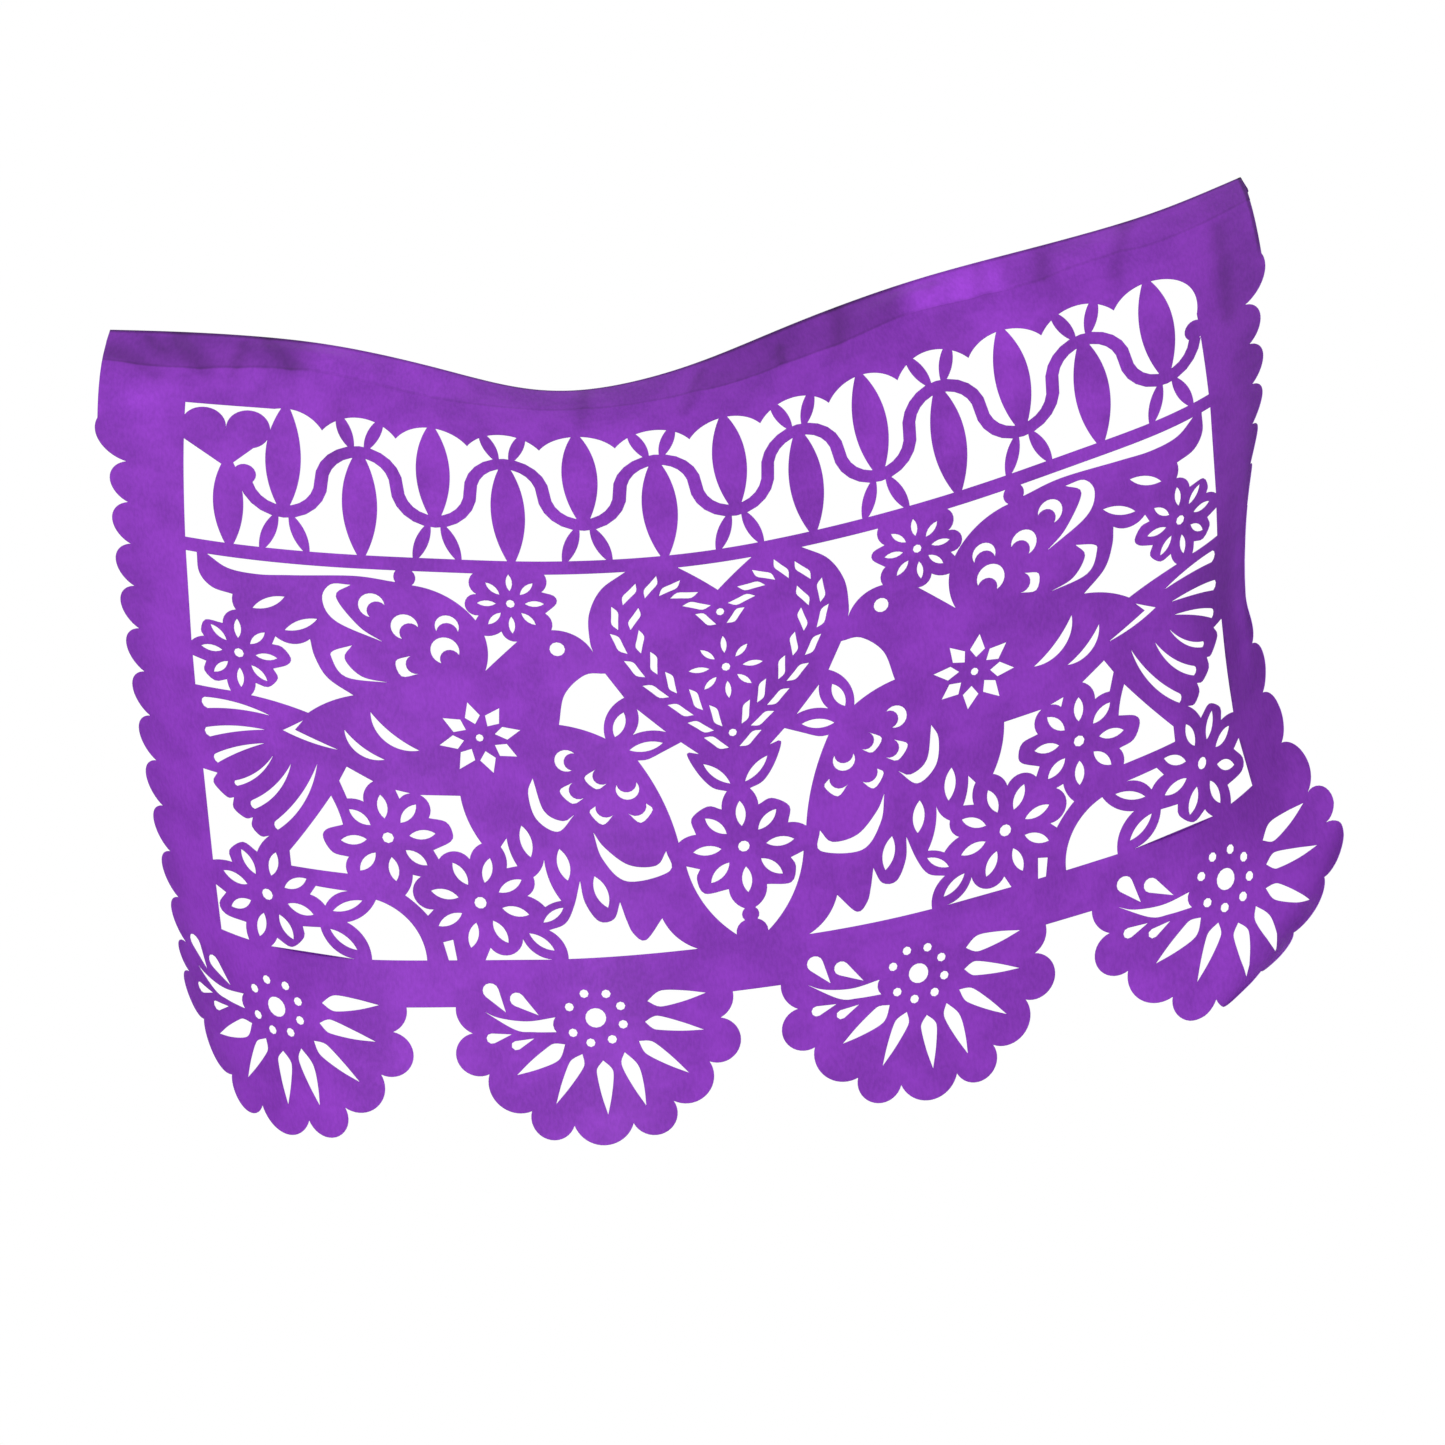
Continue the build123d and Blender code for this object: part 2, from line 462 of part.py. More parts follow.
def sheet_rim():
    """Outer outline of the sheet: straight top, side scallops and four petals."""
    half = DRAWN_WIDTH / 2
    notch = half - 10.4
    tip = notch + SCALLOP_DEPTH
    first = 63.9
    last = first + SCALLOP_COUNT * SCALLOP_PITCH
    strokes = [[(-half, 0)], [(-half, 46)], [(-half + 1.2, 58), (-notch, first)]]
    for k in range(SCALLOP_COUNT):
        v = first + k * SCALLOP_PITCH
        strokes.append([(-tip, v + SCALLOP_PITCH / 2), (-notch, v + SCALLOP_PITCH)])
    for k in range(4):
        place = (k - 1.5) * PETAL_PITCH
        left = (place + LEFT_NOTCH[0], PETAL_DROP + LEFT_NOTCH[1])
        if k == 0:
            strokes.append([(-notch - 7, last + 7.5), left])
        else:
            strokes.append([(place - 49.5, EDGE_BETWEEN_PETALS)])
            strokes.append([(place - 48.5, 269.5), left])
        strokes += [[(place + x, PETAL_DROP + y) for x, y in lobe] for lobe in LOBES]
        if k == 3:
            strokes.append([(notch + 7.2, last + 6), (notch, last)])
        else:
            strokes.append([(place + 47.6, 268.3), (place + INNER_TOP[0], EDGE_BETWEEN_PETALS)])
    for k in range(SCALLOP_COUNT):
        v = last - k * SCALLOP_PITCH
        strokes.append([(tip, v - SCALLOP_PITCH / 2), (notch, v - SCALLOP_PITCH)])
    strokes.append([(half - 1.2, 58), (half, 46)])
    strokes.append([(half, 0)])
    return strokes


def pattern_wires():
    """All openings of the flat pattern."""
    mirrored = GAPS + CRESCENTS + SLITS
    mirrored += [[[corner] for corner in kite] for kite in STAR]
    mirrored += [lens(*leaf_slit) for leaf_slit in LEAVES]
    mirrored.append(disc(*EYE))
    for place in FLOWERS:
        mirrored += flower(*place)
    wires = [outline(HEART_NOTCH)]
    for strokes in mirrored:
        wires.append(outline(strokes))
        wires.append(outline(strokes, flip=-1))
    for strokes in flower(*HEART_FLOWER):
        wires.append(outline(strokes))
    for k in range(4):
        place = ((k - 1.5) * PETAL_PITCH, PETAL_DROP)
        for strokes in [disc(0, 0, PETAL_HOLE)] + RAYS:
            wires.append(outline(strokes, place))
    return wires + band_gaps()


def sheet_region(strokes):
    """The part of the smooth surface inside an outline."""
    surroundings = surface.make_holes([on_sheet(outline(strokes))])
    return surface.split_by_perimeter(surroundings.inner_wires()[0])


side = DRAWN_WIDTH / 2 - HEM_INSET
hem_corners = [[(-side, HEM_INSET)], [(side, HEM_INSET)], [(side, HEM_DEPTH)], [(-side, HEM_DEPTH)]]
hem_face = sheet_region(hem_corners)
cut_face = sheet_region(sheet_rim()).make_holes([on_sheet(wire) for wire in pattern_wires()])

with BuildPart() as paper_panel:
    add(Solid.thicken(cut_face, PAPER_THICKNESS))
    add(Solid.thicken(hem_face, -PAPER_THICKNESS))

paper_panel.part.label = "paper_panel"
export_step(paper_panel.part, "parts/paper_panel.step")
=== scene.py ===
# %% [markdown]
# # A papel picado panel
# One sheet of purple tissue paper is cut with doves, a heart, flowers and petals, folded
# over at the top for a string, and hangs with soft bends. It could be modelled in space
# from the start, but paper is cut flat, and so is this one: the lesson draws the flat
# pattern, makes triangles between its cuts, and only then bends the sheet, creases it,
# gives it thickness and dye, and lights it.
#
# The first cell opens the frame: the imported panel, which gives place and size.

import math

import bmesh
import bpy
import numpy as np
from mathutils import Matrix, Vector
from mathutils.geometry import delaunay_2d_cdt
from mathutils.kdtree import KDTree


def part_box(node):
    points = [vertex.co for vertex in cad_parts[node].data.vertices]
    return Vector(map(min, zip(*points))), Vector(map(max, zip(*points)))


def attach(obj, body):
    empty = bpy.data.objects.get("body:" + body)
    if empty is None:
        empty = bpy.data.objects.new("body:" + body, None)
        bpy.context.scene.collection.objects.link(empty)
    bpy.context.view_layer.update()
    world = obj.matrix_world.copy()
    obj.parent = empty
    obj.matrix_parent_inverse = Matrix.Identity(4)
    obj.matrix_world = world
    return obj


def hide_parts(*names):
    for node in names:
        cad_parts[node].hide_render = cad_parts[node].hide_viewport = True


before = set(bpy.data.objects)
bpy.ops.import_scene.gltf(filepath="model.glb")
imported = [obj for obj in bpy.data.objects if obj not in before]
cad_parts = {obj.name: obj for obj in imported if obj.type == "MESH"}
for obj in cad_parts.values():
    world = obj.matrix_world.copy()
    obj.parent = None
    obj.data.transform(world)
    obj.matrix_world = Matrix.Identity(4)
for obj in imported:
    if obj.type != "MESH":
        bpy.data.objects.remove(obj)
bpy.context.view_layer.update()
low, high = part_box("paper_panel")
print("panel box in mm", [round(1000 * x) for x in low], [round(1000 * x) for x in high])

# %% [markdown]
# ## The bends of the sheet
# Paper bends but does not stretch. A cloth simulation could find such bends, but not these
# ones, so they are written down: going across, the heading of the sheet, seen from above,
# turns softly at nine places, and going down each turn changes a little. `sheet_place`
# adds the small steps up and so finds the place in space of any point of the flat
# pattern: `u` millimetres from the middle, `v` millimetres below the fold.

# %% Bent sheet
BENDS = np.array([
    # place, reach, bend, change going down, extra at the top
    (-200, 25, -4.0, -26.5, 9.5),
    (-150, 25, 6.5, -42.5, 11.0),
    (-100, 25, 3.5, 14.5, 4.5),
    (-50, 25, -23.0, -32.0, -41.0),
    (0, 25, -16.5, 18.5, 0.0),
    (50, 25, -2.5, -8.0, 9.5),
    (100, 25, -17.5, 17.5, 29.0),
    (150, 25, 12.0, -4.0, -15.0),
    (190, 18, -35.5, 45.0, 21.0),
])
START_HEADING = (-1.5, -11.5, -19.0)
RIM_CURL = 47.0
RIM_START = 167.0
RIM_MIDDLE = 223.0
RIM_REACH_UP = 111.0
RIM_REACH_DOWN = 72.0
CORNER_CURL = 28.0
CORNER_SLOPE = 1.66
LEAN_TOP = 29.6
LEAN_BOTTOM = 15.0
HEM_REACH = 55.0
DROP = 300.0
VIEW_TURN = math.radians(16.7)
STEP = 2.5
STEP_DOWN = 6.0
STEPS = 94
ROWS = 57


def ease(x):
    """Smooth step from 0 to 1."""
    return 0.5 * (1 + np.tanh(x))


def heading(u, v):
    """Direction of the sheet's level line at (u, v), in radians."""
    s = v / DROP
    hem = np.exp(-v / HEM_REACH)
    turn = START_HEADING[0] + START_HEADING[1] * s + START_HEADING[2] * hem
    for place, reach, bend, change, extra in BENDS:
        share = ease((u - place) / reach) - ease(-place / reach)
        turn = turn + share * (bend + change * s + extra * hem)
    spread = np.where(v < RIM_MIDDLE, RIM_REACH_UP, RIM_REACH_DOWN)
    rim = ease((u - RIM_START) / 22) * np.exp(-(((v - RIM_MIDDLE) / spread) ** 2))
    corner = ease((u - 272 + CORNER_SLOPE * (v - 245)) / 9) * ease((v - 200) / 25)
    return np.radians(turn - RIM_CURL * rim - CORNER_CURL * corner)


columns = (np.arange(-STEPS, STEPS) + 0.5) * STEP
levels = (np.arange(ROWS) - 1.0) * STEP_DOWN
turns = heading(columns[None, :], levels[:, None])
across = np.stack([np.cos(turns), np.sin(turns)], axis=2) * STEP
line = np.concatenate([np.zeros((ROWS, 1, 2)), np.cumsum(across, axis=1)], axis=1)
line -= line[:, STEPS:STEPS + 1]
lean = LEAN_TOP * np.exp(-levels / HEM_REACH) - LEAN_BOTTOM * (levels / DROP) ** 2
line[:, :, 0] -= (lean * math.sin(VIEW_TURN))[:, None]
line[:, :, 1] += (lean * math.cos(VIEW_TURN))[:, None]
slip = np.diff(line, axis=0)
drops = np.sqrt(np.maximum(STEP_DOWN ** 2 - (slip ** 2).sum(axis=2), 1.0))
height = np.concatenate([np.zeros((1, line.shape[1])), -np.cumsum(drops, axis=0)])
height -= height[1]
GRID = np.concatenate([line, height[:, :, None]], axis=2)


def raw_place(u, v):
    """Places of pattern points, by interpolation between the level lines."""
    a = u / STEP + STEPS
    b = v / STEP_DOWN + 1
    i = np.clip(a.astype(int), 0, 2 * STEPS - 1)
    j = np.clip(b.astype(int), 0, ROWS - 2)
    a = (a - i)[:, None]
    b = (b - j)[:, None]
    upper = GRID[j, i] * (1 - a) + GRID[j, i + 1] * a
    lower = GRID[j + 1, i] * (1 - a) + GRID[j + 1, i + 1] * a
    return upper * (1 - b) + lower * b


MOUNT = raw_place(np.array([0.0]), np.array([8.0]))


def sheet_place(u, v):
    """Places in space, in millimetres from the hem's mount."""
    return raw_place(np.asarray(u, float), np.asarray(v, float)) - MOUNT


def unit(vectors):
    """The vectors, one millimetre long."""
    return vectors / np.linalg.norm(vectors, axis=1)[:, None]


def sheet_frame(u, v):
    """Unit vectors along the sheet and to its back."""
    along = sheet_place(u + 1.5, v) - sheet_place(u - 1.5, v)
    down = sheet_place(u, v + 1.5) - sheet_place(u, v - 1.5)
    return unit(along), unit(np.cross(along, down))


ends = sheet_place(np.array([-225, 225, 0]), np.array([0, 0, 315]))
print("top corners and bottom middle in mm", ends.round(0).tolist())

# %% [markdown]
# ## The openings of the pattern
# The real openings are punched through a pile of sheets with small chisels, so they have
# crisp straight and round edges. All lists below are drawn flat, in millimetres, on the
# left half of the sheet; most are used again mirrored. An outline is a start point and
# strokes, which keeps each edge a clean line or curve and easy to correct.

# %% Openings
GAPS = [
    [[(-194, 97)], [(-190, 97)], [(-189.4, 105.1), (-185, 110.2), (-177.5, 111.8)],
     [(-177.8, 114), (-176.6, 117.9)], [(-180.3, 120.1), (-181.7, 124.2)],
     [(-188.1, 124), (-190, 128.4), (-189, 130.8)], [(-191.7, 131.9), (-194, 133.9)]],
    [[(-194, 139.8)], [(-188.9, 140.8)], [(-189.9, 144.8), (-186.1, 148), (-181.5, 146.5)],
     [(-181.1, 148.7), (-180.3, 150.8)], [(-194, 151.6)]],
    [[(-162.5, 126.4)], [(-156.1, 128.7), (-150, 126.2)],
     [(-148.6, 132.9), (-144.4, 140.7), (-135.4, 147.1)], [(-144.4, 150.1), (-152.1, 155)],
     [(-161.1, 152.6), (-172.8, 151.1)], [(-171.4, 149), (-170.8, 145.9)],
     [(-166.1, 146.8), (-162.4, 142.9), (-164, 139.3)],
     [(-158.6, 137.1), (-157.3, 134.3), (-160.3, 130.4), (-163.9, 129.7)]],
    [[(-186.4, 97)], [(-117.8, 97)], [(-118.7, 99.3), (-118.1, 101.8)],
     [(-133.3, 100.1), (-155.6, 101.6), (-168, 102.6), (-178.9, 101.6), (-186.4, 97)]],
    [[(-111.8, 97)], [(-89, 97)], [(-90.8, 100.7), (-88.1, 105.5)],
     [(-92.8, 109.3), (-87.9, 114.1)], [(-89.2, 116.2)],
     [(-97.2, 108.4), (-112.1, 102.9)], [(-110.6, 100), (-111.8, 97)]],
    [[(-86.3, 122.3)], [(-83.9, 122.3), (-79.7, 120.4)], [(-77.8, 123.4), (-74.1, 124.4)],
     [(-80.6, 130.4), (-86.9, 136.4)], [(-85.4, 128.4), (-86.3, 122.3)]],
    [[(-62.2, 97)], [(-32.8, 97)],
     [(-42.2, 104), (-47.2, 114), (-47.7, 124.6), (-46.8, 129.3)],
     [(-52.2, 122.6), (-61.1, 119.8)], [(-60.6, 117), (-62.9, 113)],
     [(-58.5, 109), (-59.2, 105.9), (-63.7, 104.3)], [(-61.5, 100.5), (-62.2, 97)]],
    [[(-61.3, 157.6)], [(-58.3, 145.7), (-50.6, 138.2), (-43.3, 137.9)],
     [(-37.4, 147.9)], [(-43.9, 154), (-45.3, 163.6)], [(-54.4, 159.3), (-61.3, 157.6)]],
    [[(-33.3, 152.8)], [(-23.8, 162.7)], [(-30, 161.6), (-35.6, 162.8)],
     [(-33.1, 157.5), (-33.3, 152.8)]],
    [[(-34.7, 172.9)], [(-31, 172.7), (-25, 170), (-18.9, 167.2)], [(-12.9, 172.6)],
     [(-17.2, 172), (-14.2, 179.7), (-9.4, 186.1), (-4.2, 188.3)],
     [(-5.8, 190.8), (-6.7, 195.1)], [(-11.7, 193.3), (-17.8, 197.4), (-16.7, 203.6)],
     [(-20, 204.1), (-23.1, 205.9)], [(-26.7, 190.8), (-34.7, 172.9)]],
    [[(-21.2, 215.2)], [(-16.4, 216.9)], [(-17.9, 220.5), (-15.6, 226.3), (-6.9, 225.7)],
     [(-5.2, 231), (-1.9, 233.7)], [(-3.1, 236.1), (-2.3, 238.1)],
     [(-4.6, 239.6), (-5.7, 243)], [(-13.3, 234.7), (-21.2, 215.2)]],
    [[(-83.9, 201.1)], [(-83.1, 205.8), (-80.7, 211.6)], [(-84.7, 212.4)],
     [(-84.7, 208), (-86.3, 204.4)], [(-83.9, 201.1)]],
    [[(-70.8, 209.1)], [(-69.5, 217), (-65.8, 224.8)], [(-68.9, 225.5), (-71.8, 227)],
     [(-74.2, 224.7), (-77.9, 222.8)], [(-75, 219), (-75.2, 215.8)],
     [(-72, 212.5), (-70.8, 209.1)]],
    [[(-58.6, 217.6)], [(-57.5, 225.8), (-53.3, 233), (-48, 232.6), (-45.4, 226.4)],
     [(-44, 232.5)], [(-42, 238.3), (-37.8, 241.4), (-31.4, 233.8)], [(-27.5, 240.8), (-19.9, 246.6)],
     [(-65, 246.6)], [(-67.2, 239.1), (-71.1, 235.7)],
     [(-65, 233.3), (-61.4, 226.9), (-58.6, 217.6)]],
    [[(-95, 246.6)], [(-92.8, 242)], [(-87.2, 244.9), (-80.8, 238.8)],
     [(-77, 244), (-70.8, 246.6)]],
    [[(-132.2, 224.4)], [(-121.7, 231.1), (-115.7, 246.6)], [(-135, 246.6)],
     [(-137.2, 238.6), (-143.1, 233.3)], [(-136.7, 230.2), (-132.2, 224.4)]],
    [[(-172.7, 246.6)], [(-171.1, 244.9), (-170, 242.9)],
     [(-164.4, 245.2), (-159.4, 240.8), (-159.6, 236.7)], [(-152.9, 236.1)],
     [(-149.5, 242.5), (-141.2, 246.6)]],
    [[(-153.6, 220.9)], [(-141.7, 221.7)], [(-147, 223.6), (-150.6, 227.9)],
     [(-153, 225.6), (-156, 224.4)]],
    [[(-145.7, 186.1)], [(-144, 190), (-142.1, 196.8)],
     [(-148.3, 199.1), (-149.6, 202.4), (-146.5, 207.5), (-140.8, 208.8)],
     [(-142, 211.5), (-141.6, 215.2)], [(-155.6, 214.7), (-162.3, 214.6)], [(-162.5, 209)],
     [(-152.8, 196.3), (-145.7, 186.1)]],
    [[(-139.4, 174.6)], [(-130.3, 179.8)], [(-133.9, 184.1), (-134.2, 187.7)],
     [(-137, 186.8), (-140, 186.8)], [(-142.4, 180.2)]],
    [[(-114.1, 184.8)], [(-99.6, 185.1)], [(-97.2, 195.2), (-93.1, 203.1)],
     [(-96.1, 205.2), (-97.9, 209.1)], [(-103.9, 206.1), (-109, 209.1)], [(-110.7, 205.7)],
     [(-104.2, 202.4), (-103.4, 199), (-105.5, 195), (-111.5, 193.6)],
     [(-110.7, 189.5), (-114.1, 184.8)]],
    [[(-118.6, 214.9)], [(-115.8, 215.6)], [(-119, 220.8), (-112.1, 227.8)],
     [(-114.3, 230.1)], [(-117.8, 226.1), (-121.8, 222.6)], [(-119.3, 218.5), (-118.6, 214.9)]],
    [[(-194, 184.7)], [(-188.3, 184.8)], [(-190.2, 189), (-185.3, 193.3), (-182.5, 192.8)],
     [(-183, 197), (-178.6, 199.8), (-175.7, 198.9)],
     [(-176.3, 202.5), (-173.1, 205.5), (-169.9, 204.7)], [(-173, 208), (-175.2, 211.9)],
     [(-180.6, 209.4), (-186.4, 214), (-185.7, 218.4)], [(-190, 218.8), (-194, 220.1)]],
    [[(-194, 229.4)], [(-189.7, 231.1)], [(-193.3, 236.3), (-191.1, 239.7), (-182.3, 240.1)],
     [(-182.5, 243.6), (-181.7, 246.6)], [(-194, 246.6)]],
]
# Notch between the two lobes of the heart, on the middle line
HEART_NOTCH = [[(-13.9, 97)], [(13.9, 97)], [(7.2, 102.1), (0, 108.4)],
               [(-7.2, 102.1), (-13.9, 97)]]
# Crescents of the wings: tip, outer curve, inner curve back to the tip
CRESCENTS = [
    [[(-134.4, 103.7)], [(-141.7, 104), (-145, 110.1), (-140.6, 118.4), (-123.6, 126.1)],
     [(-132.2, 120.1), (-140, 108.7), (-134.4, 103.7)]],
    [[(-135, 127.7)], [(-141.7, 130.1), (-142.6, 132.9), (-137.8, 140.1), (-122.3, 141.9)],
     [(-132.2, 139.6), (-137.9, 132.9), (-135, 127.7)]],
    [[(-122.5, 111.3)], [(-132.1, 111.2), (-128.1, 116.3)], [(-128.6, 111.8), (-122.5, 111.3)]],
    [[(-110.7, 119.8)], [(-120.7, 120.1), (-116.8, 124.6)], [(-116.9, 119.8), (-110.7, 119.8)]],
    [[(-96.1, 121.1)], [(-100.6, 114.6), (-104.1, 121.1)], [(-100.6, 117.7), (-96.1, 121.1)]],
    [[(-96.3, 130.4)], [(-106.6, 130.1), (-103.1, 133.9)], [(-102.8, 130.1), (-96.3, 130.4)]],
    [[(-114.2, 131.2)], [(-119.6, 133.4), (-117.8, 139.3), (-111.5, 138.2)],
     [(-115.8, 135.9), (-114.2, 131.2)]],
    [[(-56.7, 168.9)], [(-64.1, 171.6), (-58.1, 175.5)], [(-60.8, 171.9), (-56.7, 168.9)]],
    [[(-49.2, 175.1)], [(-53.9, 178.6), (-50, 183.1), (-46.2, 181.1)],
     [(-51, 178.6), (-49.2, 175.1)]],
    [[(-58.3, 180.2)], [(-63.1, 183.3), (-58.9, 188.3), (-54.6, 186.2)],
     [(-59.7, 184.1), (-58.3, 180.2)]],
    [[(-42.9, 181.9)], [(-39.4, 187.8), (-35.9, 181.3)], [(-39.4, 184.9), (-42.9, 181.9)]],
    [[(-50.9, 189.6)], [(-53.1, 191.9), (-48.9, 196.8), (-44.1, 192.3)],
     [(-48.1, 194), (-50.9, 189.6)]],
    [[(-33.2, 189.7)], [(-31.1, 192.4), (-35.6, 197), (-40, 192.7)],
     [(-36.1, 194.1), (-33.2, 189.7)]],
    [[(-72.6, 178.3)], [(-74.7, 184.1), (-72.5, 193.8), (-65, 198.8), (-58.5, 192.4)],
     [(-62.8, 194.8), (-69.4, 190.8), (-72.6, 178.3)]],
    [[(-52.5, 199.4)], [(-50, 209.9), (-42.2, 218.8), (-27.2, 216.3), (-27.8, 208.6)],
     [(-31.7, 213.7), (-41.1, 212.7), (-49, 205.5), (-52.5, 199.4)]],
]
# Slits of the body, the tail and its root
SLITS = [
    [[(-161.8, 162.9)], [(-154.2, 158.2)], [(-157.3, 162.1)], [(-141.9, 168.4)],
     [(-150, 166.8), (-161.8, 162.9)]],
    [[(-139.4, 160.4)], [(-135.6, 164.8), (-125.6, 171.5)], [(-134.4, 169.8), (-139.4, 160.4)]],
    [[(-129.7, 153.3)], [(-125, 159), (-113.1, 167.9)], [(-125.6, 164), (-129.7, 153.3)]],
    [[(-166, 158)], [(-183.3, 154.9), (-190.8, 155.7)], [(-192.1, 157.5), (-190, 160)],
     [(-178, 157.7), (-166, 158)]],
    [[(-168.3, 163.8)], [(-176, 163.9), (-190, 167.3)], [(-191.9, 169.3), (-190, 171.2)],
     [(-178.9, 166.5), (-168.3, 163.8)]],
    [[(-168.9, 169.1)], [(-176.1, 171.1), (-188.1, 177.2)], [(-189.2, 179.1), (-187.8, 180.8)],
     [(-178.5, 174.2), (-168.9, 169.1)]],
    [[(-166.1, 173.3)], [(-173.3, 181.3), (-180.8, 185.8)], [(-181.8, 186.6), (-180.8, 188)],
     [(-173, 182.9), (-166.1, 173.3)]],
    [[(-159.6, 175.5)], [(-165.6, 184.1), (-175.3, 192.2)], [(-176.2, 193.6), (-174.7, 195.5)],
     [(-166.7, 188.9), (-159.6, 175.5)]],
    [[(-150, 174.4)], [(-155.6, 185.2), (-166.7, 198.3)], [(-167.6, 199.8), (-166.4, 201.8)],
     [(-157, 191.7), (-150, 174.4)]],
]
# Lens slits of the leaves: tip, tip, width
LEAVES = [
    (-170.4, 116.3, -158.6, 110.4, 3.6), (-159, 123.6, -147.1, 118.1, 3.4),
    (-78.1, 196.3, -75.6, 208.3, 4.2), (-65, 205.3, -62.9, 217.3, 4.4),
    (-53.4, 216.1, -49.7, 228.2, 4.4), (-38.1, 153.7, -41.9, 163.2, 4.0),
    (-37.3, 168.7, -25.3, 166.8, 3.6), (-11.7, 176.7, -2.7, 185.5, 3.2),
    (-72.9, 232.8, -65.3, 227.4, 2.8), (-78.4, 236.7, -69.7, 243.3, 3.2),
    (-147.9, 229.6, -137.1, 224.9, 3.0), (-149.4, 236.3, -140, 243.3, 3.2),
]
# Flowers of eight lens slits: place, turn, inner and outer radius, slit width
FLOWERS = [
    (-176.3, 135, 0, 6.1, 14.1, 2.6), (-75.6, 109.1, 0, 5.4, 12.6, 2.4),
    (-126.4, 201.1, -6, 7.6, 17, 3.6), (-95.2, 225.3, 15, 8, 18, 3.6),
    (-172.5, 227.3, 15, 8, 18, 3.6),
]
HEART_FLOWER = (0, 210.2, 0, 8.1, 18.3, 3.6)
FLOWER_FLATTENING = 0.96
# Star in the breast: eight kites
STAR = [
    [(-94.6, 149), (-90.3, 154), (-92.3, 157.5), (-95.9, 155.2)],
    [(-82.9, 151.1), (-83.4, 157.2), (-87.8, 158.3), (-88.4, 154.1)],
    [(-75.7, 159.6), (-80.8, 163.4), (-85.3, 161.3), (-82.3, 158.4)],
    [(-77.6, 169.9), (-84, 169.7), (-85.6, 165.5), (-81.1, 165)],
    [(-86.8, 176.3), (-91.4, 171.6), (-89.2, 167.9), (-85.6, 170.4)],
    [(-99.1, 174.9), (-93.2, 171.4), (-94.2, 167.1), (-98.3, 168.4)],
    [(-105.8, 165.8), (-100.7, 161.9), (-96.8, 163.9), (-99.3, 167.2)],
    [(-104.1, 155.3), (-97.6, 155.8), (-95.8, 159.8), (-100.4, 160.7)],
]
EYE = (-59.6, 127.5, 2.8)
# One petal of the bottom edge, drawn about its own centre
PETAL_DROP = 268.8
PETAL_HOLE = 3.6
RAYS = [
    (18.2, -4.8, 24.8, -8.3, 38.8, -5.7, 24.8, -2.5), (16.7, 2.7, 22.4, 1.2, 36.8, 7.7, 21.8, 6.2),
    (14, 9.5, 20.2, 11.4, 30, 22.7, 17.5, 15.5), (8.8, 13.2, 13.6, 20.5, 14.3, 33, 8, 19.9),
    (1.2, 15.7, 4.3, 21.2, 1.2, 35.3, -1.3, 21.2), (-5.8, 13, -6.6, 19, -16.6, 30.7, -11.2, 17),
    (-11.6, 9.2, -15.8, 15.8, -29.8, 20.1, -18.3, 10.4),
]
SPRIG = [
    [(-40.2, -3.6)], [(-34.5, -0.9), (-24.5, 0.5), (-14.2, -0.8)], [(-15.2, 1.5), (-14.2, 4.7)],
    [(-22.5, 4.5), (-29.2, 3.5), (-40.2, -3.6)],
]
# Drops beside the sprig: tip, middle of the round end, radius
DROPS = [
    (-31.8, -2.8, -36.6, -10.8, 2.9), (-20, -1.6, -27.4, -7.6, 2.6), (-30.4, 5.2, -37.7, 6.7, 1.9),
    (-22.4, 6.8, -29.2, 9.4, 1.7),
]
# Lobes of the petal between its notches: way point, notch
LOBES = [
    [(-50.8, 12.2), (-39.7, 19.7)], [(-37.4, 30.5), (-25.6, 33.2)],
    [(-21.5, 43), (-10.8, 38.7)], [(-0.3, 46.2), (9.5, 39)],
    [(19, 43.6), (23.8, 32.3)], [(36, 30.7), (37.6, 19.5)],
    [(49.3, 13.7), (43, 4)],
]
LEFT_NOTCH = (-44.3, 4.7)
INNER_TOP = (48.3, -5)
EDGE_BETWEEN_PETALS = 263.8
DRAWN_DROP = 315.0
print(len(GAPS), "gaps,", len(CRESCENTS), "crescents and", len(SLITS), "slits on each side")

# %% [markdown]
# ## The finest cuts
# Round pinholes sit in the flower centres and around each petal's middle. The garland that
# frames the heart is a row of small S-shaped leaves. They could be placed along a curve,
# but by hand they were cut a little unevenly, so each leaf is given by its two tips.

# %% Fine cuts
PINHOLES = [
    (-176.3, 135, 1.8), (-75.6, 109.1, 1.65), (-126.4, 201.1, 2.05), (-95.2, 225.3, 2.2),
    (-172.5, 227.3, 2.1), (-91, 162.8, 1.45),
]
MIDDLE_PINHOLES = [(0, 210.2, 2.1), (0, 139.7, 1.6), (0, 117.4, 1.5), (0, 165.8, 1.5)]
PETAL_DOTS = [
    (-3.3, -9.1), (4.3, -8.6), (8.9, -3.8), (9.2, 3), (5, 8.2), (-2.5, 9), (-8.4, 5.1),
    (-8.9, -4.4),
]
PETAL_DOT = 1.6
GARLAND = [
    (-9.2, 117.1, -1.9, 122.3), (-13.6, 113.2, -3.1, 114.3), (-17.7, 109.6, -7.2, 108.2),
    (-21.6, 108.2, -13.4, 102.4), (-26.7, 108.6, -21.9, 99.7), (-34.8, 110.8, -29.6, 102.2),
    (-39, 111.1, -37.3, 120.8), (-29.4, 112.3, -32.9, 121.1), (-40.4, 122.1, -34.8, 130.6),
    (-30, 121.3, -30, 130.8), (-36.3, 133.3, -29.3, 140.4), (-26.7, 130.4, -24.9, 139.7),
    (-30.6, 143.7, -21.5, 149.1), (-22.1, 138.9, -18.6, 147.9), (-22.4, 152.1, -13.4, 157.1),
    (-14.2, 146.7, -9.9, 155.6), (-15.9, 159.9, -6.7, 164.1), (-7.5, 153.9, -3.5, 162.9),
    (-10.6, 166.4, -1.9, 171.5),
]
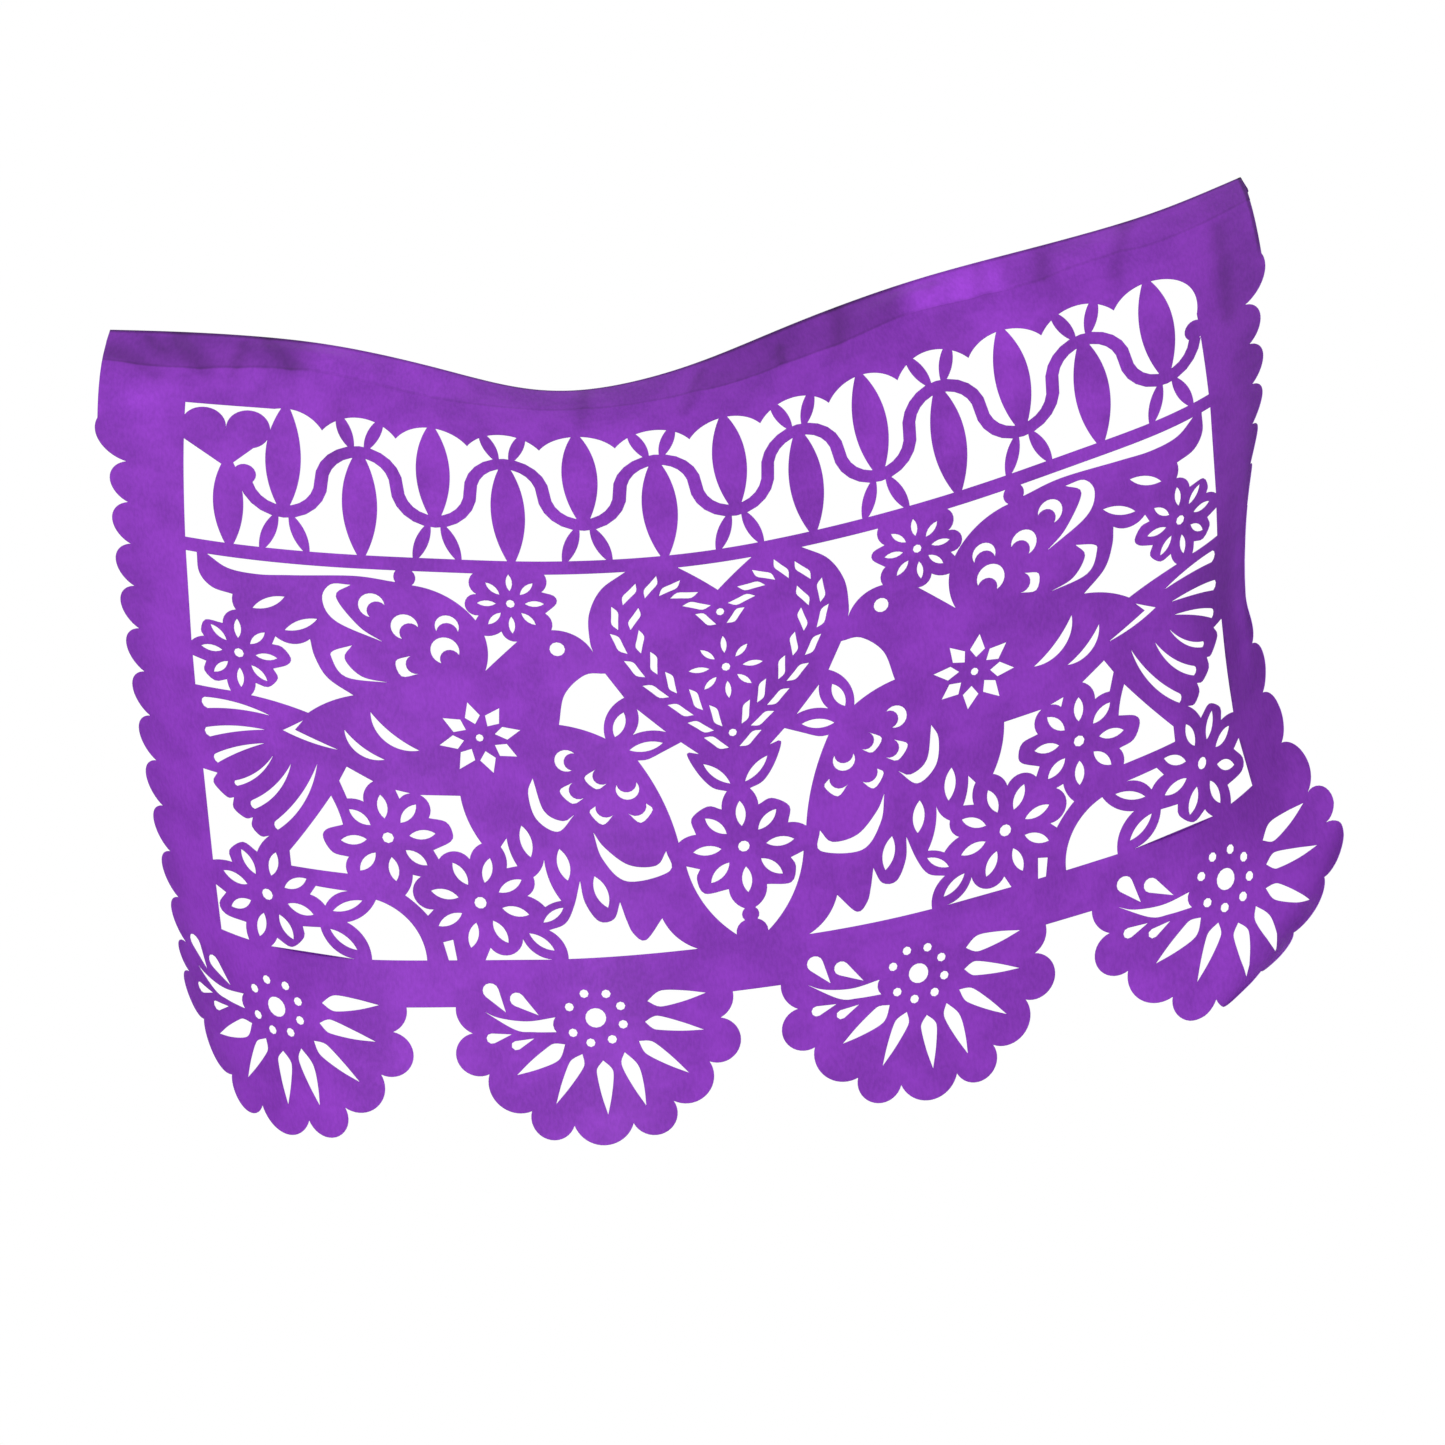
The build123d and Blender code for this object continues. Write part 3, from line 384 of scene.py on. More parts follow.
# The small flower inside the heart: slits from its middle outwards
HEART_SLITS = [(0, 5.6, 0, 12.4), (6.1, 0, 13.7, 0), (3.8, 3.5, 8.7, 7.9)]
SMALL_GAPS = [
    [[(-122.7, 182.9)], [(-117.3, 184.2)], [(-119.6, 184.8), (-121.4, 186.3)]],
    [[(-109.6, 239.9)], [(-106, 239)], [(-105.1, 246.6)], [(-108.1, 246.6)]],
]
print(len(GARLAND), "garland leaves on each side")

# %% [markdown]
# ## Drawing with strokes
# Every opening is a start point and strokes. A stroke of one point is straight, a stroke of
# two is an arc through the first, and longer strokes are smooth curves. `trace_outline`
# turns an outline into a closed ring of closely spaced points. Curve objects could do the
# same, but plain points can be triangulated together in one go later.

# %% Strokes to points
SPACING = 1.3
STRAIGHT_SPACING = 2.5
TINY = 1e-6


def arc_through(p, q, r):
    """Points on the arc from p through q to r, without p."""
    p, q, r = (np.array(x, float) for x in (p, q, r))
    a = q - p
    b = r - p
    cross = a[0] * b[1] - a[1] * b[0]
    if abs(cross) < TINY:
        count = max(int(np.linalg.norm(b) / SPACING), 1)
        return [p + b * k / count for k in range(1, count + 1)]
    ux = (b[1] * (a @ a) - a[1] * (b @ b)) / (2 * cross)
    uy = (a[0] * (b @ b) - b[0] * (a @ a)) / (2 * cross)
    centre = p + (ux, uy)
    radius = math.hypot(ux, uy)
    start = math.atan2(p[1] - centre[1], p[0] - centre[0])
    sweep = math.atan2(r[1] - centre[1], r[0] - centre[0]) - start
    sweep = sweep % (2 * math.pi) if cross > 0 else -((-sweep) % (2 * math.pi))
    count = max(int(abs(sweep) * radius / SPACING), 4)
    angles = [start + sweep * k / count for k in range(1, count + 1)]
    return [centre + radius * np.array((math.cos(t), math.sin(t))) for t in angles]


def smooth_through(points):
    """Points on a soft curve through all the given points, without the first."""
    points = [np.array(p, float) for p in points]
    first = 2 * points[0] - points[1]
    last = 2 * points[-1] - points[-2]
    whole = [first] + points + [last]
    ring = []
    for a, b, c, d in zip(whole, whole[1:], whole[2:], whole[3:]):
        count = max(int(np.linalg.norm(c - b) / SPACING), 3)
        for k in range(1, count + 1):
            t = k / count
            ring.append(0.5 * (2 * b + (c - a) * t + (2 * a - 5 * b + 4 * c - d) * t * t
                               + (3 * b - a - 3 * c + d) * t ** 3))
    return ring


def trace_outline(strokes, place=(0, 0), flip=1):
    """Closed ring of points for an outline, shifted and perhaps mirrored."""
    ring = [np.array(strokes[0][0], float)]
    for stroke in strokes[1:]:
        here = ring[-1]
        if len(stroke) == 1:
            gap = np.array(stroke[0], float) - here
            count = max(int(np.linalg.norm(gap) / STRAIGHT_SPACING), 1)
            ring += [here + gap * k / count for k in range(1, count + 1)]
        elif len(stroke) == 2:
            ring += arc_through(here, *stroke)
        else:
            ring += smooth_through([here, *stroke])
    if np.linalg.norm(ring[-1] - ring[0]) < TINY:
        ring.pop()
    return np.array(ring) * (flip, 1) + place


def straight(corners):
    """Strokes of an outline with straight sides."""
    return [[corner] for corner in corners] + [[corners[0]]]


def lens(x0, y0, x1, y1, width):
    """Pointed slit between two tips."""
    length = math.hypot(x1 - x0, y1 - y0)
    side = ((y1 - y0) / length * width / 2, (x0 - x1) / length * width / 2)
    middle = ((x0 + x1) / 2, (y0 + y1) / 2)
    return [[(x0, y0)], [(middle[0] + side[0], middle[1] + side[1]), (x1, y1)],
            [(middle[0] - side[0], middle[1] - side[1]), (x0, y0)]]


def tapered(x0, y0, x1, y1, x2, y2, x3, y3):
    """Ray from its inner tip, over its belly, to a long thin tip and back."""
    out_x, out_y = 0.06 * (x1 - x3), 0.06 * (y1 - y3)
    near_1 = ((x1 + x2) / 2 + out_x, (y1 + y2) / 2 + out_y)
    near_3 = ((x3 + x2) / 2 - out_x, (y3 + y2) / 2 - out_y)
    soon_1 = ((x0 + x1) / 2 + 3 * out_x, (y0 + y1) / 2 + 3 * out_y)
    soon_3 = ((x0 + x3) / 2 - 3 * out_x, (y0 + y3) / 2 - 3 * out_y)
    there = [soon_1, (x1, y1), near_1, (x2, y2)]
    return [[(x0, y0)], there, [near_3, (x3, y3), soon_3, (x0, y0)]]


def drop(x0, y0, x1, y1, radius):
    """Drop with its tip at the first point and a round end about the second."""
    ahead = math.atan2(y0 - y1, x0 - x1)
    lean = math.acos(radius / math.hypot(x0 - x1, y0 - y1))

    def rim_point(angle):
        return (x1 + radius * math.cos(angle), y1 + radius * math.sin(angle))

    round_end = [rim_point(ahead + math.pi), rim_point(ahead - lean)]
    return [[(x0, y0)], [rim_point(ahead + lean)], round_end, [(x0, y0)]]


def flower(x, y, turn, inner, outer, width):
    """Eight slits around a flower's middle."""
    slits = []
    for k in range(8):
        a = math.radians(turn + 45 * k)
        dx = math.cos(a)
        dy = math.sin(a) * FLOWER_FLATTENING
        slits.append(lens(x + inner * dx, y + inner * dy, x + outer * dx, y + outer * dy, width))
    return slits


def disc(x, y, radius):
    """Round hole as two half circles."""
    return [[(x - radius, y)], [(x, y - radius), (x + radius, y)],
            [(x, y + radius), (x - radius, y)]]


def leaf_slit(x0, y0, x1, y1, width=2.8):
    """S-shaped slit of the garland, thick in the middle and bent at both tips."""
    length = math.hypot(x1 - x0, y1 - y0)
    nx, ny = (y1 - y0) / length, (x0 - x1) / length

    def at(t, side):
        return (x0 + (x1 - x0) * t + nx * side, y0 + (y1 - y0) * t + ny * side)

    thick, thin = 0.6 * width, 0.34 * width
    return [[(x0, y0)], [at(0.28, thick), at(0.62, thin), (x1, y1)],
            [at(0.72, -thick), at(0.38, -thin), (x0, y0)]]


print("a dove's eye has", len(trace_outline(disc(*EYE))), "points")

# %% [markdown]
# ## The band of vine and leaves
# On the band the paper is what is drawn, not the openings: a vine that swings up and down,
# long leaves that tie it to both edges so that it can't drop out, small side leaves, two
# buds and a heart. The band's upper edge is a row of round bays. The vine follows a rule,
# half circles swinging down and up, so its points are worked out and not listed.

# %% Ornament band
BAND_TOP = 50.0
BAND_BOTTOM = 91.5
VINE_WIDTH = 5.0
VINE_RADIUS = 14.0
VINE_STEPS = 12
BAY_RADIUS = 17.0
BAND_END = 194.0
END_TOP = 33.5
END_WIDTH = 34.0
BUD = 4.2
vine_middle = BAND_BOTTOM - 2 * VINE_RADIUS - 1.5
vine_places = [-158 + 2 * VINE_RADIUS * k for k in range(13)]


def vine_ring():
    """Outline of the vine: half circles swinging down and up, with an even width."""
    outer, inner = [], []
    for k, x in enumerate(vine_places):
        side = 1 if k % 2 == 0 else -1
        for step in range(VINE_STEPS):
            a = math.pi * (1 - step / VINE_STEPS)
            for ring, radius in ((outer, VINE_RADIUS + side * VINE_WIDTH / 2),
                                 (inner, VINE_RADIUS - side * VINE_WIDTH / 2)):
                ring.append((x + radius * math.cos(a), vine_middle + side * radius * math.sin(a)))
    return np.array(outer + inner[::-1])


def band_window():
    """Rings that are open in the band: the strip, its taller left end and the round bays."""
    boxes = []
    for top, right in ((BAND_TOP, BAND_END), (END_TOP, END_WIDTH - BAND_END)):
        boxes.append(straight([(-BAND_END, top), (right, top), (right, BAND_BOTTOM),
                               (-BAND_END, BAND_BOTTOM)]))
    bays = [disc(x, BAND_TOP, BAY_RADIUS) for x in vine_places]
    return [trace_outline(shape) for shape in boxes + bays]


def band_paper():
    """Rings that stay paper inside the band."""
    high = vine_middle - VINE_RADIUS
    low = vine_middle + VINE_RADIUS
    leaves = [(-178, 54, -178, BAND_BOTTOM + 3, 11)]
    for k, x in enumerate(vine_places):
        if k % 2 == 0:
            leaves.append((x, 30, x, low + 2, 13))
            leaves += [(x + s * 2, low, x + s * 9, BAND_BOTTOM + 2, 5) for s in (-1, 1)]
        else:
            leaves.append((x, BAND_BOTTOM + 3, x, high - 2, 13))
            leaves += [(x + s * 2, high, x + s * 9, 31, 5) for s in (-1, 1)]
    heart = straight([(-197, 42), (-195, 49), (-178.5, 60), (-164.5, 46.5), (-179, 43.5)])
    buds = [(vine_places[0] - VINE_RADIUS, vine_middle, BUD),
            (vine_places[-1] + VINE_RADIUS, vine_middle, BUD)]
    rounds = [(-187, 43, 8), (-171, 43, 8)] + buds
    shapes = [lens(*leaf) for leaf in leaves] + [disc(*place) for place in rounds] + [heart]
    return [vine_ring()] + [trace_outline(shape) for shape in shapes]


print("band:", len(band_window()), "open rings and", len(band_paper()), "paper rings")

# %% [markdown]
# ## The sheet's outline
# The rim runs down the left edge past eleven scallops, along four round petals and up the
# right edge. Scallops and petals could be separate shapes joined to a rectangle, but one
# running outline leaves no seams. Above `v = 0` the same sheet goes on as the flap that
# is folded to the back, with close rows of points where the fold turns round.

# %% Outline of the sheet
HALF_WIDTH = 225.0
FOLD_RADIUS = 0.5
FOLD_ROUND = math.pi * FOLD_RADIUS
HEM_DEPTH = 16.5
FLAP = HEM_DEPTH + FOLD_ROUND
FOLD_ROWS = [0.8 - 0.3 * k for k in range(11)]
SCALLOP_PITCH = 17.97
SCALLOP_COUNT = 11
SCALLOP_DEPTH = 6.4
FIRST_NOTCH = 63.9
NOTCH_INSET = 10.4
SHOULDER_START = 46
SHOULDER_END = 58
SHOULDER = 1.2
PETAL_PITCH = 115.0


def petal_strokes(place, number):
    """Strokes round one petal and to the edge beside it."""
    left = (place + LEFT_NOTCH[0], PETAL_DROP + LEFT_NOTCH[1])
    strokes = []
    if number > 0:
        strokes = [[(place - 49.5, EDGE_BETWEEN_PETALS)], [(place - 48.5, 269.5), left]]
    strokes += [[(place + x, PETAL_DROP + y) for x, y in lobe] for lobe in LOBES]
    if number < 3:
        inner = (place + INNER_TOP[0], EDGE_BETWEEN_PETALS)
        strokes.append([(place + 47.6, 268.3), inner])
    return strokes


def sheet_strokes():
    """Start and strokes of the whole rim, flap included."""
    notch = HALF_WIDTH - NOTCH_INSET
    shoulder = HALF_WIDTH - SHOULDER
    tip = notch + SCALLOP_DEPTH
    notches = [FIRST_NOTCH + k * SCALLOP_PITCH for k in range(SCALLOP_COUNT + 1)]
    strokes = [[(-HALF_WIDTH, -FLAP)]]
    strokes += [[(-HALF_WIDTH, v)] for v in FOLD_ROWS[::-1]]
    strokes += [[(-HALF_WIDTH, SHOULDER_START)], [(-shoulder, SHOULDER_END), (-notch, notches[0])]]
    for v, low in zip(notches, notches[1:]):
        strokes.append([(-tip, (v + low) / 2), (-notch, low)])
    first = -1.5 * PETAL_PITCH
    corner = (first + LEFT_NOTCH[0], PETAL_DROP + LEFT_NOTCH[1])
    strokes.append([(-notch - 7, notches[-1] + 7.5), corner])
    for k in range(4):
        strokes += petal_strokes((k - 1.5) * PETAL_PITCH, k)
    strokes.append([(notch + 7.2, notches[-1] + 6), (notch, notches[-1])])
    for v, low in zip(notches[-2::-1], notches[:0:-1]):
        strokes.append([(tip, (v + low) / 2), (notch, v)])
    strokes += [[(shoulder, SHOULDER_END), (HALF_WIDTH, SHOULDER_START)]]
    strokes += [[(HALF_WIDTH, v)] for v in FOLD_ROWS]
    return strokes + [[(HALF_WIDTH, -FLAP)], [(-HALF_WIDTH, -FLAP)]]


rim = trace_outline(sheet_strokes())
spans = np.ptp(rim, axis=0).round(1).tolist()
print("the rim has", len(rim), "points and spans", spans, "mm")

# %% [markdown]
# ## All openings
# Every list of the pattern becomes rings: once as drawn, once mirrored, or once for each
# of the four petals. The two doves face each other as mirror images, so one is enough.

# %% Rings of the openings
both_sides = GAPS + SMALL_GAPS + CRESCENTS + SLITS
both_sides += [straight(kite) for kite in STAR]
both_sides += [lens(*leaf) for leaf in LEAVES]
both_sides += [leaf_slit(*leaf) for leaf in GARLAND]
both_sides += [disc(*EYE)] + [disc(*hole) for hole in PINHOLES]
for place in FLOWERS:
    both_sides += flower(*place)

petal_cuts = [disc(0, 0, PETAL_HOLE)] + [tapered(*ray) for ray in RAYS] + [SPRIG]
petal_cuts += [drop(*place) for place in DROPS]
petal_cuts += [disc(x, y, PETAL_DOT) for x, y in PETAL_DOTS]

HEART_MIDDLE = 139.7
HEART_SLIT = 2.2
heart_cuts = flower(*HEART_FLOWER) + [disc(*hole) for hole in MIDDLE_PINHOLES]
for x0, y0, x1, y1 in HEART_SLITS:
    for sx, sy in ((1, 1), (-1, 1), (1, -1), (-1, -1)):
        if (sx > 0 or x1 > 0) and (sy > 0 or y1 > 0):
            tips = (sx * x0, HEART_MIDDLE + sy * y0, sx * x1, HEART_MIDDLE + sy * y1)
            heart_cuts.append(lens(*tips, HEART_SLIT))

openings = [trace_outline(HEART_NOTCH)]
openings += [trace_outline(cut, flip=side) for cut in both_sides for side in (1, -1)]
openings += [trace_outline(cut) for cut in heart_cuts]
for k in range(4):
    place = ((k - 1.5) * PETAL_PITCH, PETAL_DROP)
    openings += [trace_outline(cut, place) for cut in petal_cuts]
print(len(openings), "openings with", sum(len(ring) for ring in openings), "points")

# %% [markdown]
# ## Triangles of the flat sheet
# Boolean cuts would leave long thin triangles that bend badly. Instead one triangulation
# takes all rings as its edges, with a honeycomb of loose points between them so that the
# sheet can bend. It also says which rings each triangle lies in; a triangle is paper if it
# is inside the rim, in no opening, and on the vine where the band is.

# %% Flat triangles
POINT_PITCH = 3.2
CLEARANCE = 1.2
FOLD_COLUMN = 3.0


def loose_points(rings):
    """Honeycomb points that keep away from the rings, and close rows at the fold."""
    near = KDTree(sum(len(ring) for ring in rings))
    for number, (u, v) in enumerate(np.concatenate(rings)):
        near.insert((u, v, 0), number)
    points = []
    row_height = POINT_PITCH * math.sqrt(3) / 2
    for j in range(1, int((DRAWN_DROP + POINT_PITCH) / row_height)):
        for i in range(int(2 * HALF_WIDTH / POINT_PITCH) + 1):
            u = -HALF_WIDTH + (i + 0.5 * (j % 2)) * POINT_PITCH
            points.append((u, j * row_height))
    columns = np.arange(-HALF_WIDTH + FOLD_COLUMN, HALF_WIDTH - 1, FOLD_COLUMN)
    rows = FOLD_ROWS + [-4, -7, -10, -12, -14, -16]
    points += [(u, v) for v in rows for u in columns]
    near.balance()
    return np.array([p for p in points if p[1] < 1 or near.find((*p, 0))[2] > CLEARANCE])


def turned_left(ring):
    """The ring, counter-clockwise."""
    u, v = ring.T
    area = (u * np.roll(v, -1) - np.roll(u, -1) * v).sum()
    return ring if area > 0 else ring[::-1]


windows = band_window()
kept = band_paper()
rings = [turned_left(ring) for ring in [rim] + openings + windows + kept]
points = np.concatenate(rings + [loose_points(rings)])
starts = np.cumsum([0] + [len(ring) for ring in rings])
loops = [list(range(a, b)) for a, b in zip(starts, starts[1:])]
cut = delaunay_2d_cdt([Vector(p) for p in points.tolist()], [], loops, 0, 1e-4)
flat = np.array([tuple(p) for p in cut[0]])
in_opening = range(1, 1 + len(openings))
in_window = range(in_opening.stop, in_opening.stop + len(windows))
in_kept = range(in_window.stop, in_window.stop + len(kept))
paper = []
for triangle, owners in zip(cut[2], cut[5]):
    if 0 not in owners or any(o in in_opening for o in owners):
        continue
    if any(o in in_window for o in owners) and not any(o in in_kept for o in owners):
        continue
    paper.append(triangle[::-1])
used, triangles = np.unique(np.array(paper), return_inverse=True)
triangles = triangles.reshape(-1, 3)
flat = flat[used]
corners = flat[triangles]
edge_a = corners[:, 1] - corners[:, 0]
edge_b = corners[:, 2] - corners[:, 0]
paper_area = abs(edge_a[:, 0] * edge_b[:, 1] - edge_a[:, 1] * edge_b[:, 0]).sum() / 2
print(len(flat), "points,", len(triangles), "triangles,", round(paper_area), "mm2 of paper")

# %% [markdown]
# ## Creases and the folded hem
# Handled tissue keeps small creases: straight ridges, a few millimetres wide, given by
# their two ends on the flat sheet, and broad swells along the hem. Random noise would look
# like cloth; paper creases are few and sharp, so they are placed one by one. Above `v = 0`
# the sheet turns round the fold and lies on its own back, open like a sleeve in the middle
# and glued along its edge. Part of the right rim turns edge-on.

# %% Places in space
CREASES = [
    # two ends, width, height towards the back
    (-200, 3, -188, 18, 4.0, 1.5), (-176, 5, -178, 20, 2.5, 0.9), (-223, 10, -205, 20, 4.0, 1.2),
    (-210, 4, -204, 10, 2.5, -0.8), (-41, 3, -43, 26, 3.0, -0.6), (5, 7, -4, 27, 2.5, -1.1),
    (39, 8, 38, 17, 2.2, -1.0), (104, 4, 103, 9, 1.8, -0.8), (122, 2, 121, 17, 3.0, -1.2),
    (179, 0, 169, 27, 3.0, -1.3), (209, 21, 206, 63, 3.5, 0.6), (145, 4, 142, 16, 3.0, 0.8),
    (-168, 2, -158, 16, 3.5, 1.0), (-140, 60, -138, 30, 5.0, 0.5), (60, 20, 66, 2, 4.0, 0.7),
]
SWELLS = [
    # place, reach across and down, height towards the back
    (-152, 4, 24, 26, -4.2), (94, 8, 20, 28, -4.2), (-200, 12, 12, 14, 1.5), (20, 4, 26, 20, 1.8),
    (160, 10, 16, 26, -1.8), (-96, 10, 22, 30, 1.5),
]
PAINTED_LIGHT_PATCHES = [
    # place, reach across and down, how much darker as painted shade; below zero, lighter as a painted
    # highlight
    (-212, 36, 16, 14, -0.18), (104, 40, 7, 30, 0.16), (146, 36, 6, 26, 0.10),
    (205, 110, 26, 90, 0.12), (128, 34, 16, 22, -0.10), (-120, 34, 26, 16, -0.08),
    (60, 40, 18, 14, -0.08), (-30, 34, 26, 12, -0.05), (215, 60, 12, 40, 0.10),
    (150, 190, 60, 60, 0.05), (209, 178, 6, 36, -0.35),
]
HEM_PAINTED_SHADE_AND_SHEEN = [
    # place across, how much darker the two layers are there as painted shade; below zero, lighter as
    # painted sheen
    (-225, 0.30), (-156, 0.30), (-148, 0.02), (-98, 0.00), (-86, 0.14), (2, 0.16), (8, 0.32),
    (88, 0.28), (97, -0.24), (126, -0.20), (132, 0.10), (225, 0.14),
]
ROLL_START = 211.0
ROLL_LENGTH = 4.0
ROLL_TURN = -24.0
FADE = 6.0
CREASE_PAINTED_SHADE = 0.22
RIPPLE = 0.35
SLEEVE = 1.1
GLUE_START = 12.0
GLUE_GAP = 0.12


def patch(u, v, x, y, across, down, amount):
    """Soft round patch about (x, y)."""
    return amount * np.exp(-(((u - x) / across) ** 2) - ((v - y) / down) ** 2)


def beside(u, v, x0, y0, x1, y1):
    """Distances aside from a crease and past its ends."""
    length = math.hypot(x1 - x0, y1 - y0)
    along = ((u - x0) * (x1 - x0) + (v - y0) * (y1 - y0)) / length
    aside = ((u - x0) * (y1 - y0) - (v - y0) * (x1 - x0)) / length
    return np.abs(aside), np.maximum(np.maximum(-along, along - length), 0)


def crease_height(u, v):
    """How far creases push the sheet to the back, in millimetres."""
    waves = np.sin(u / 23 + 1.3 * np.sin(v / 41)) * np.sin(v / 31 + 0.7 * np.sin(u / 37))
    height = RIPPLE * waves + sum(patch(u, v, *swell) for swell in SWELLS)
    for *ends, width, rise in CREASES:
        aside, past = beside(u, v, *ends)
        height = height + rise * np.exp(-aside / width - (past / width) ** 2)
    return height * (1 - np.exp(-((v / FADE) ** 2)))


def painted_shading(u, v):
    """Painted shade along the creases, and painted shade and painted highlights in broad patches."""
    shade = sum(patch(u, v, *place) for place in PAINTED_LIGHT_PATCHES)
    for *ends, width, rise in CREASES:
        aside, past = beside(u, v, *ends)
        # painted shade along each crease, where a real crease is shadowed
        shade = shade + CREASE_PAINTED_SHADE * np.exp(-((aside / width) ** 2) - (past / width) ** 2)
    return shade


def rolled(u, v, along, back):
    """Shift of points on the right rim, which turns edge-on for a part of its length."""
    past = np.maximum(u - ROLL_START, 0)
    turn = math.radians(ROLL_TURN) * ease((v - 118) / 22) * ease((204 - v) / 6) - TINY
    bend = turn / ROLL_LENGTH
    arc = np.minimum(past, ROLL_LENGTH)
    ahead = np.sin(bend * arc) / bend + (past - arc) * np.cos(turn)
    behind = (1 - np.cos(bend * arc)) / bend + (past - arc) * np.sin(turn)
    return along * (ahead - past)[:, None] + back * behind[:, None]


def folded_place(u, v):
    """Places of pattern points, with creases and with the flap turned to the back."""
    run = np.maximum(-v - FOLD_ROUND, 0)
    level = np.where(v > 0, v, run)
    along, back = sheet_frame(u, level)
    place = sheet_place(u, level) + back * crease_height(u, level)[:, None]
    place += rolled(u, level, along, back)
    turn = np.clip(-v, 0, FOLD_ROUND) / FOLD_RADIUS
    up = unit(sheet_place(u, 0 * v) - sheet_place(u, 0 * v + 3))
    glued = ease((run - GLUE_START + 1.5) / 1.0)
    open_part = np.clip(run / GLUE_START, 0, 1)
    depth = FOLD_RADIUS * (1 - np.cos(turn)) * (1 - glued) + GLUE_GAP * glued
    depth = depth + SLEEVE * np.sin(np.pi * open_part) ** 2
    return place + up * (FOLD_RADIUS * np.sin(turn))[:, None] + back * depth[:, None]


places = folded_place(flat[:, 0], flat[:, 1]) / 1000
print("sheet spans", (np.ptp(places, axis=0) * 1000).round(0).tolist(), "mm")

# %% [markdown]
# ## The sheet as a mesh
# The points are worked out above, so the mesh is made from them directly. The flat place
# of every point is kept in metres as the UV map `flat`, so that the material can follow
# the paper round its bends. Two point attributes hold painted shade and painted highlights:
# one for the creases and broad patches, one for the two layers of the hem.

# %% Mesh of the sheet
mesh = bpy.data.meshes.new("paper_panel")
mesh.from_pydata(places.tolist(), [], triangles.tolist())
uv_map = mesh.uv_layers.new(name="flat")
uv_map.data.foreach_set("uv", (flat[triangles.ravel()] / 1000).ravel())
for polygon in mesh.polygons:
    polygon.use_smooth = True
# painted shade and highlights, and painted shade and sheen on the hem, as point attributes
for name, values in (("shade", painted_shading(flat[:, 0], flat[:, 1])),
                     ("hem_shade", np.interp(flat[:, 0], *zip(*HEM_PAINTED_SHADE_AND_SHEEN)))):
    mesh.attributes.new(name, "FLOAT", "POINT").data.foreach_set("value", values)
panel = bpy.data.objects.new("papel_picado_panel", mesh)
bpy.context.scene.collection.objects.link(panel)
print(panel.name, "has", len(mesh.vertices), "points")

# %% [markdown]
# ## One way of making nodes
# Nodes could be made one by one with long lines of links. Here `Graph` makes every node of
# the lesson from its type, its settings and what its sockets get, and `Signal` wraps an
# output socket, so that shader maths can be written with ordinary operators.

# %% Node helpers
class Signal:
    """A value in a node tree that takes part in ordinary maths."""

    def __init__(self, graph, socket):
        self.graph = graph
        self.socket = socket

    def maths(self, operation, *others):
        """The result of one maths node fed with this value and the others."""
        values = dict(enumerate((self, *others)))
        return self.graph.node("ShaderNodeMath", values, operation=operation)["Value"]

    def __add__(self, other):
        return self.maths("ADD", other)

    def __sub__(self, other):
        return self.maths("SUBTRACT", other)

    def __rsub__(self, other):
        return self * -1 + other

    def __mul__(self, other):
        return self.maths("MULTIPLY", other)

    def __abs__(self):
        return self.maths("ABSOLUTE")

    __radd__ = __add__
    __rmul__ = __mul__

    def between(self, low, high):
        """0 below low, 1 above high, and a soft step in between."""
        values = {"Value": self, "From Min": low, "From Max": high}
        node = self.graph.node("ShaderNodeMapRange", values, interpolation_type="SMOOTHSTEP")
        return node["Result"]


def socket_of(sockets, key):
    """The socket with this number, or the first one in use with this name."""
    if isinstance(key, int):
        return sockets[key]
    return next(socket for socket in sockets if socket.enabled and socket.name == key)


class Made:
    """A node whose outputs are asked for by name."""

    def __init__(self, graph, node):
        self.graph = graph
        self.node = node

    def __getitem__(self, name):
        return Signal(self.graph, socket_of(self.node.outputs, name))


class Graph:
    """A node tree with one method that makes nodes."""

    def __init__(self, tree):
        self.tree = tree
        tree.nodes.clear()

    def node(self, kind, inputs=None, **settings):
        """Make a node, set its settings, and link or fill its inputs."""
        node = self.tree.nodes.new(kind)
        for name, value in settings.items():
            setattr(node, name, value)
        for key, value in (inputs or {}).items():
            socket = socket_of(node.inputs, key)
            for one in value if isinstance(value, list) else [value]:
                if isinstance(one, Signal):
                    self.tree.links.new(one.socket, socket)
                else:
                    socket.default_value = one
        return Made(self, node)


print("node helpers ready")

# %% [markdown]
# ## Tissue paper
# The dye is a strong purple with a fine mottling of fibres. Painted shade darkens it along
# the fold, in creases, in broad patches, on the two layers of the hem, in a strip on the right
# edge and in a line at the flap's lower edge; painted highlights and sheen lighten it in some
# patches and along the hem. A plain shiny surface would look like plastic: tissue is rough,
# lets a share of the light through, and has a fine wrinkled grain, which is strongest near
# the handled hem. All patterns follow the flat sheet.

# %% Material
LIGHT_DYE = (0.172, 0.025, 0.330, 1)
DARK_DYE = (0.086, 0.011, 0.18, 1)
GLOW = (0.14, 0.018, 0.27, 1)


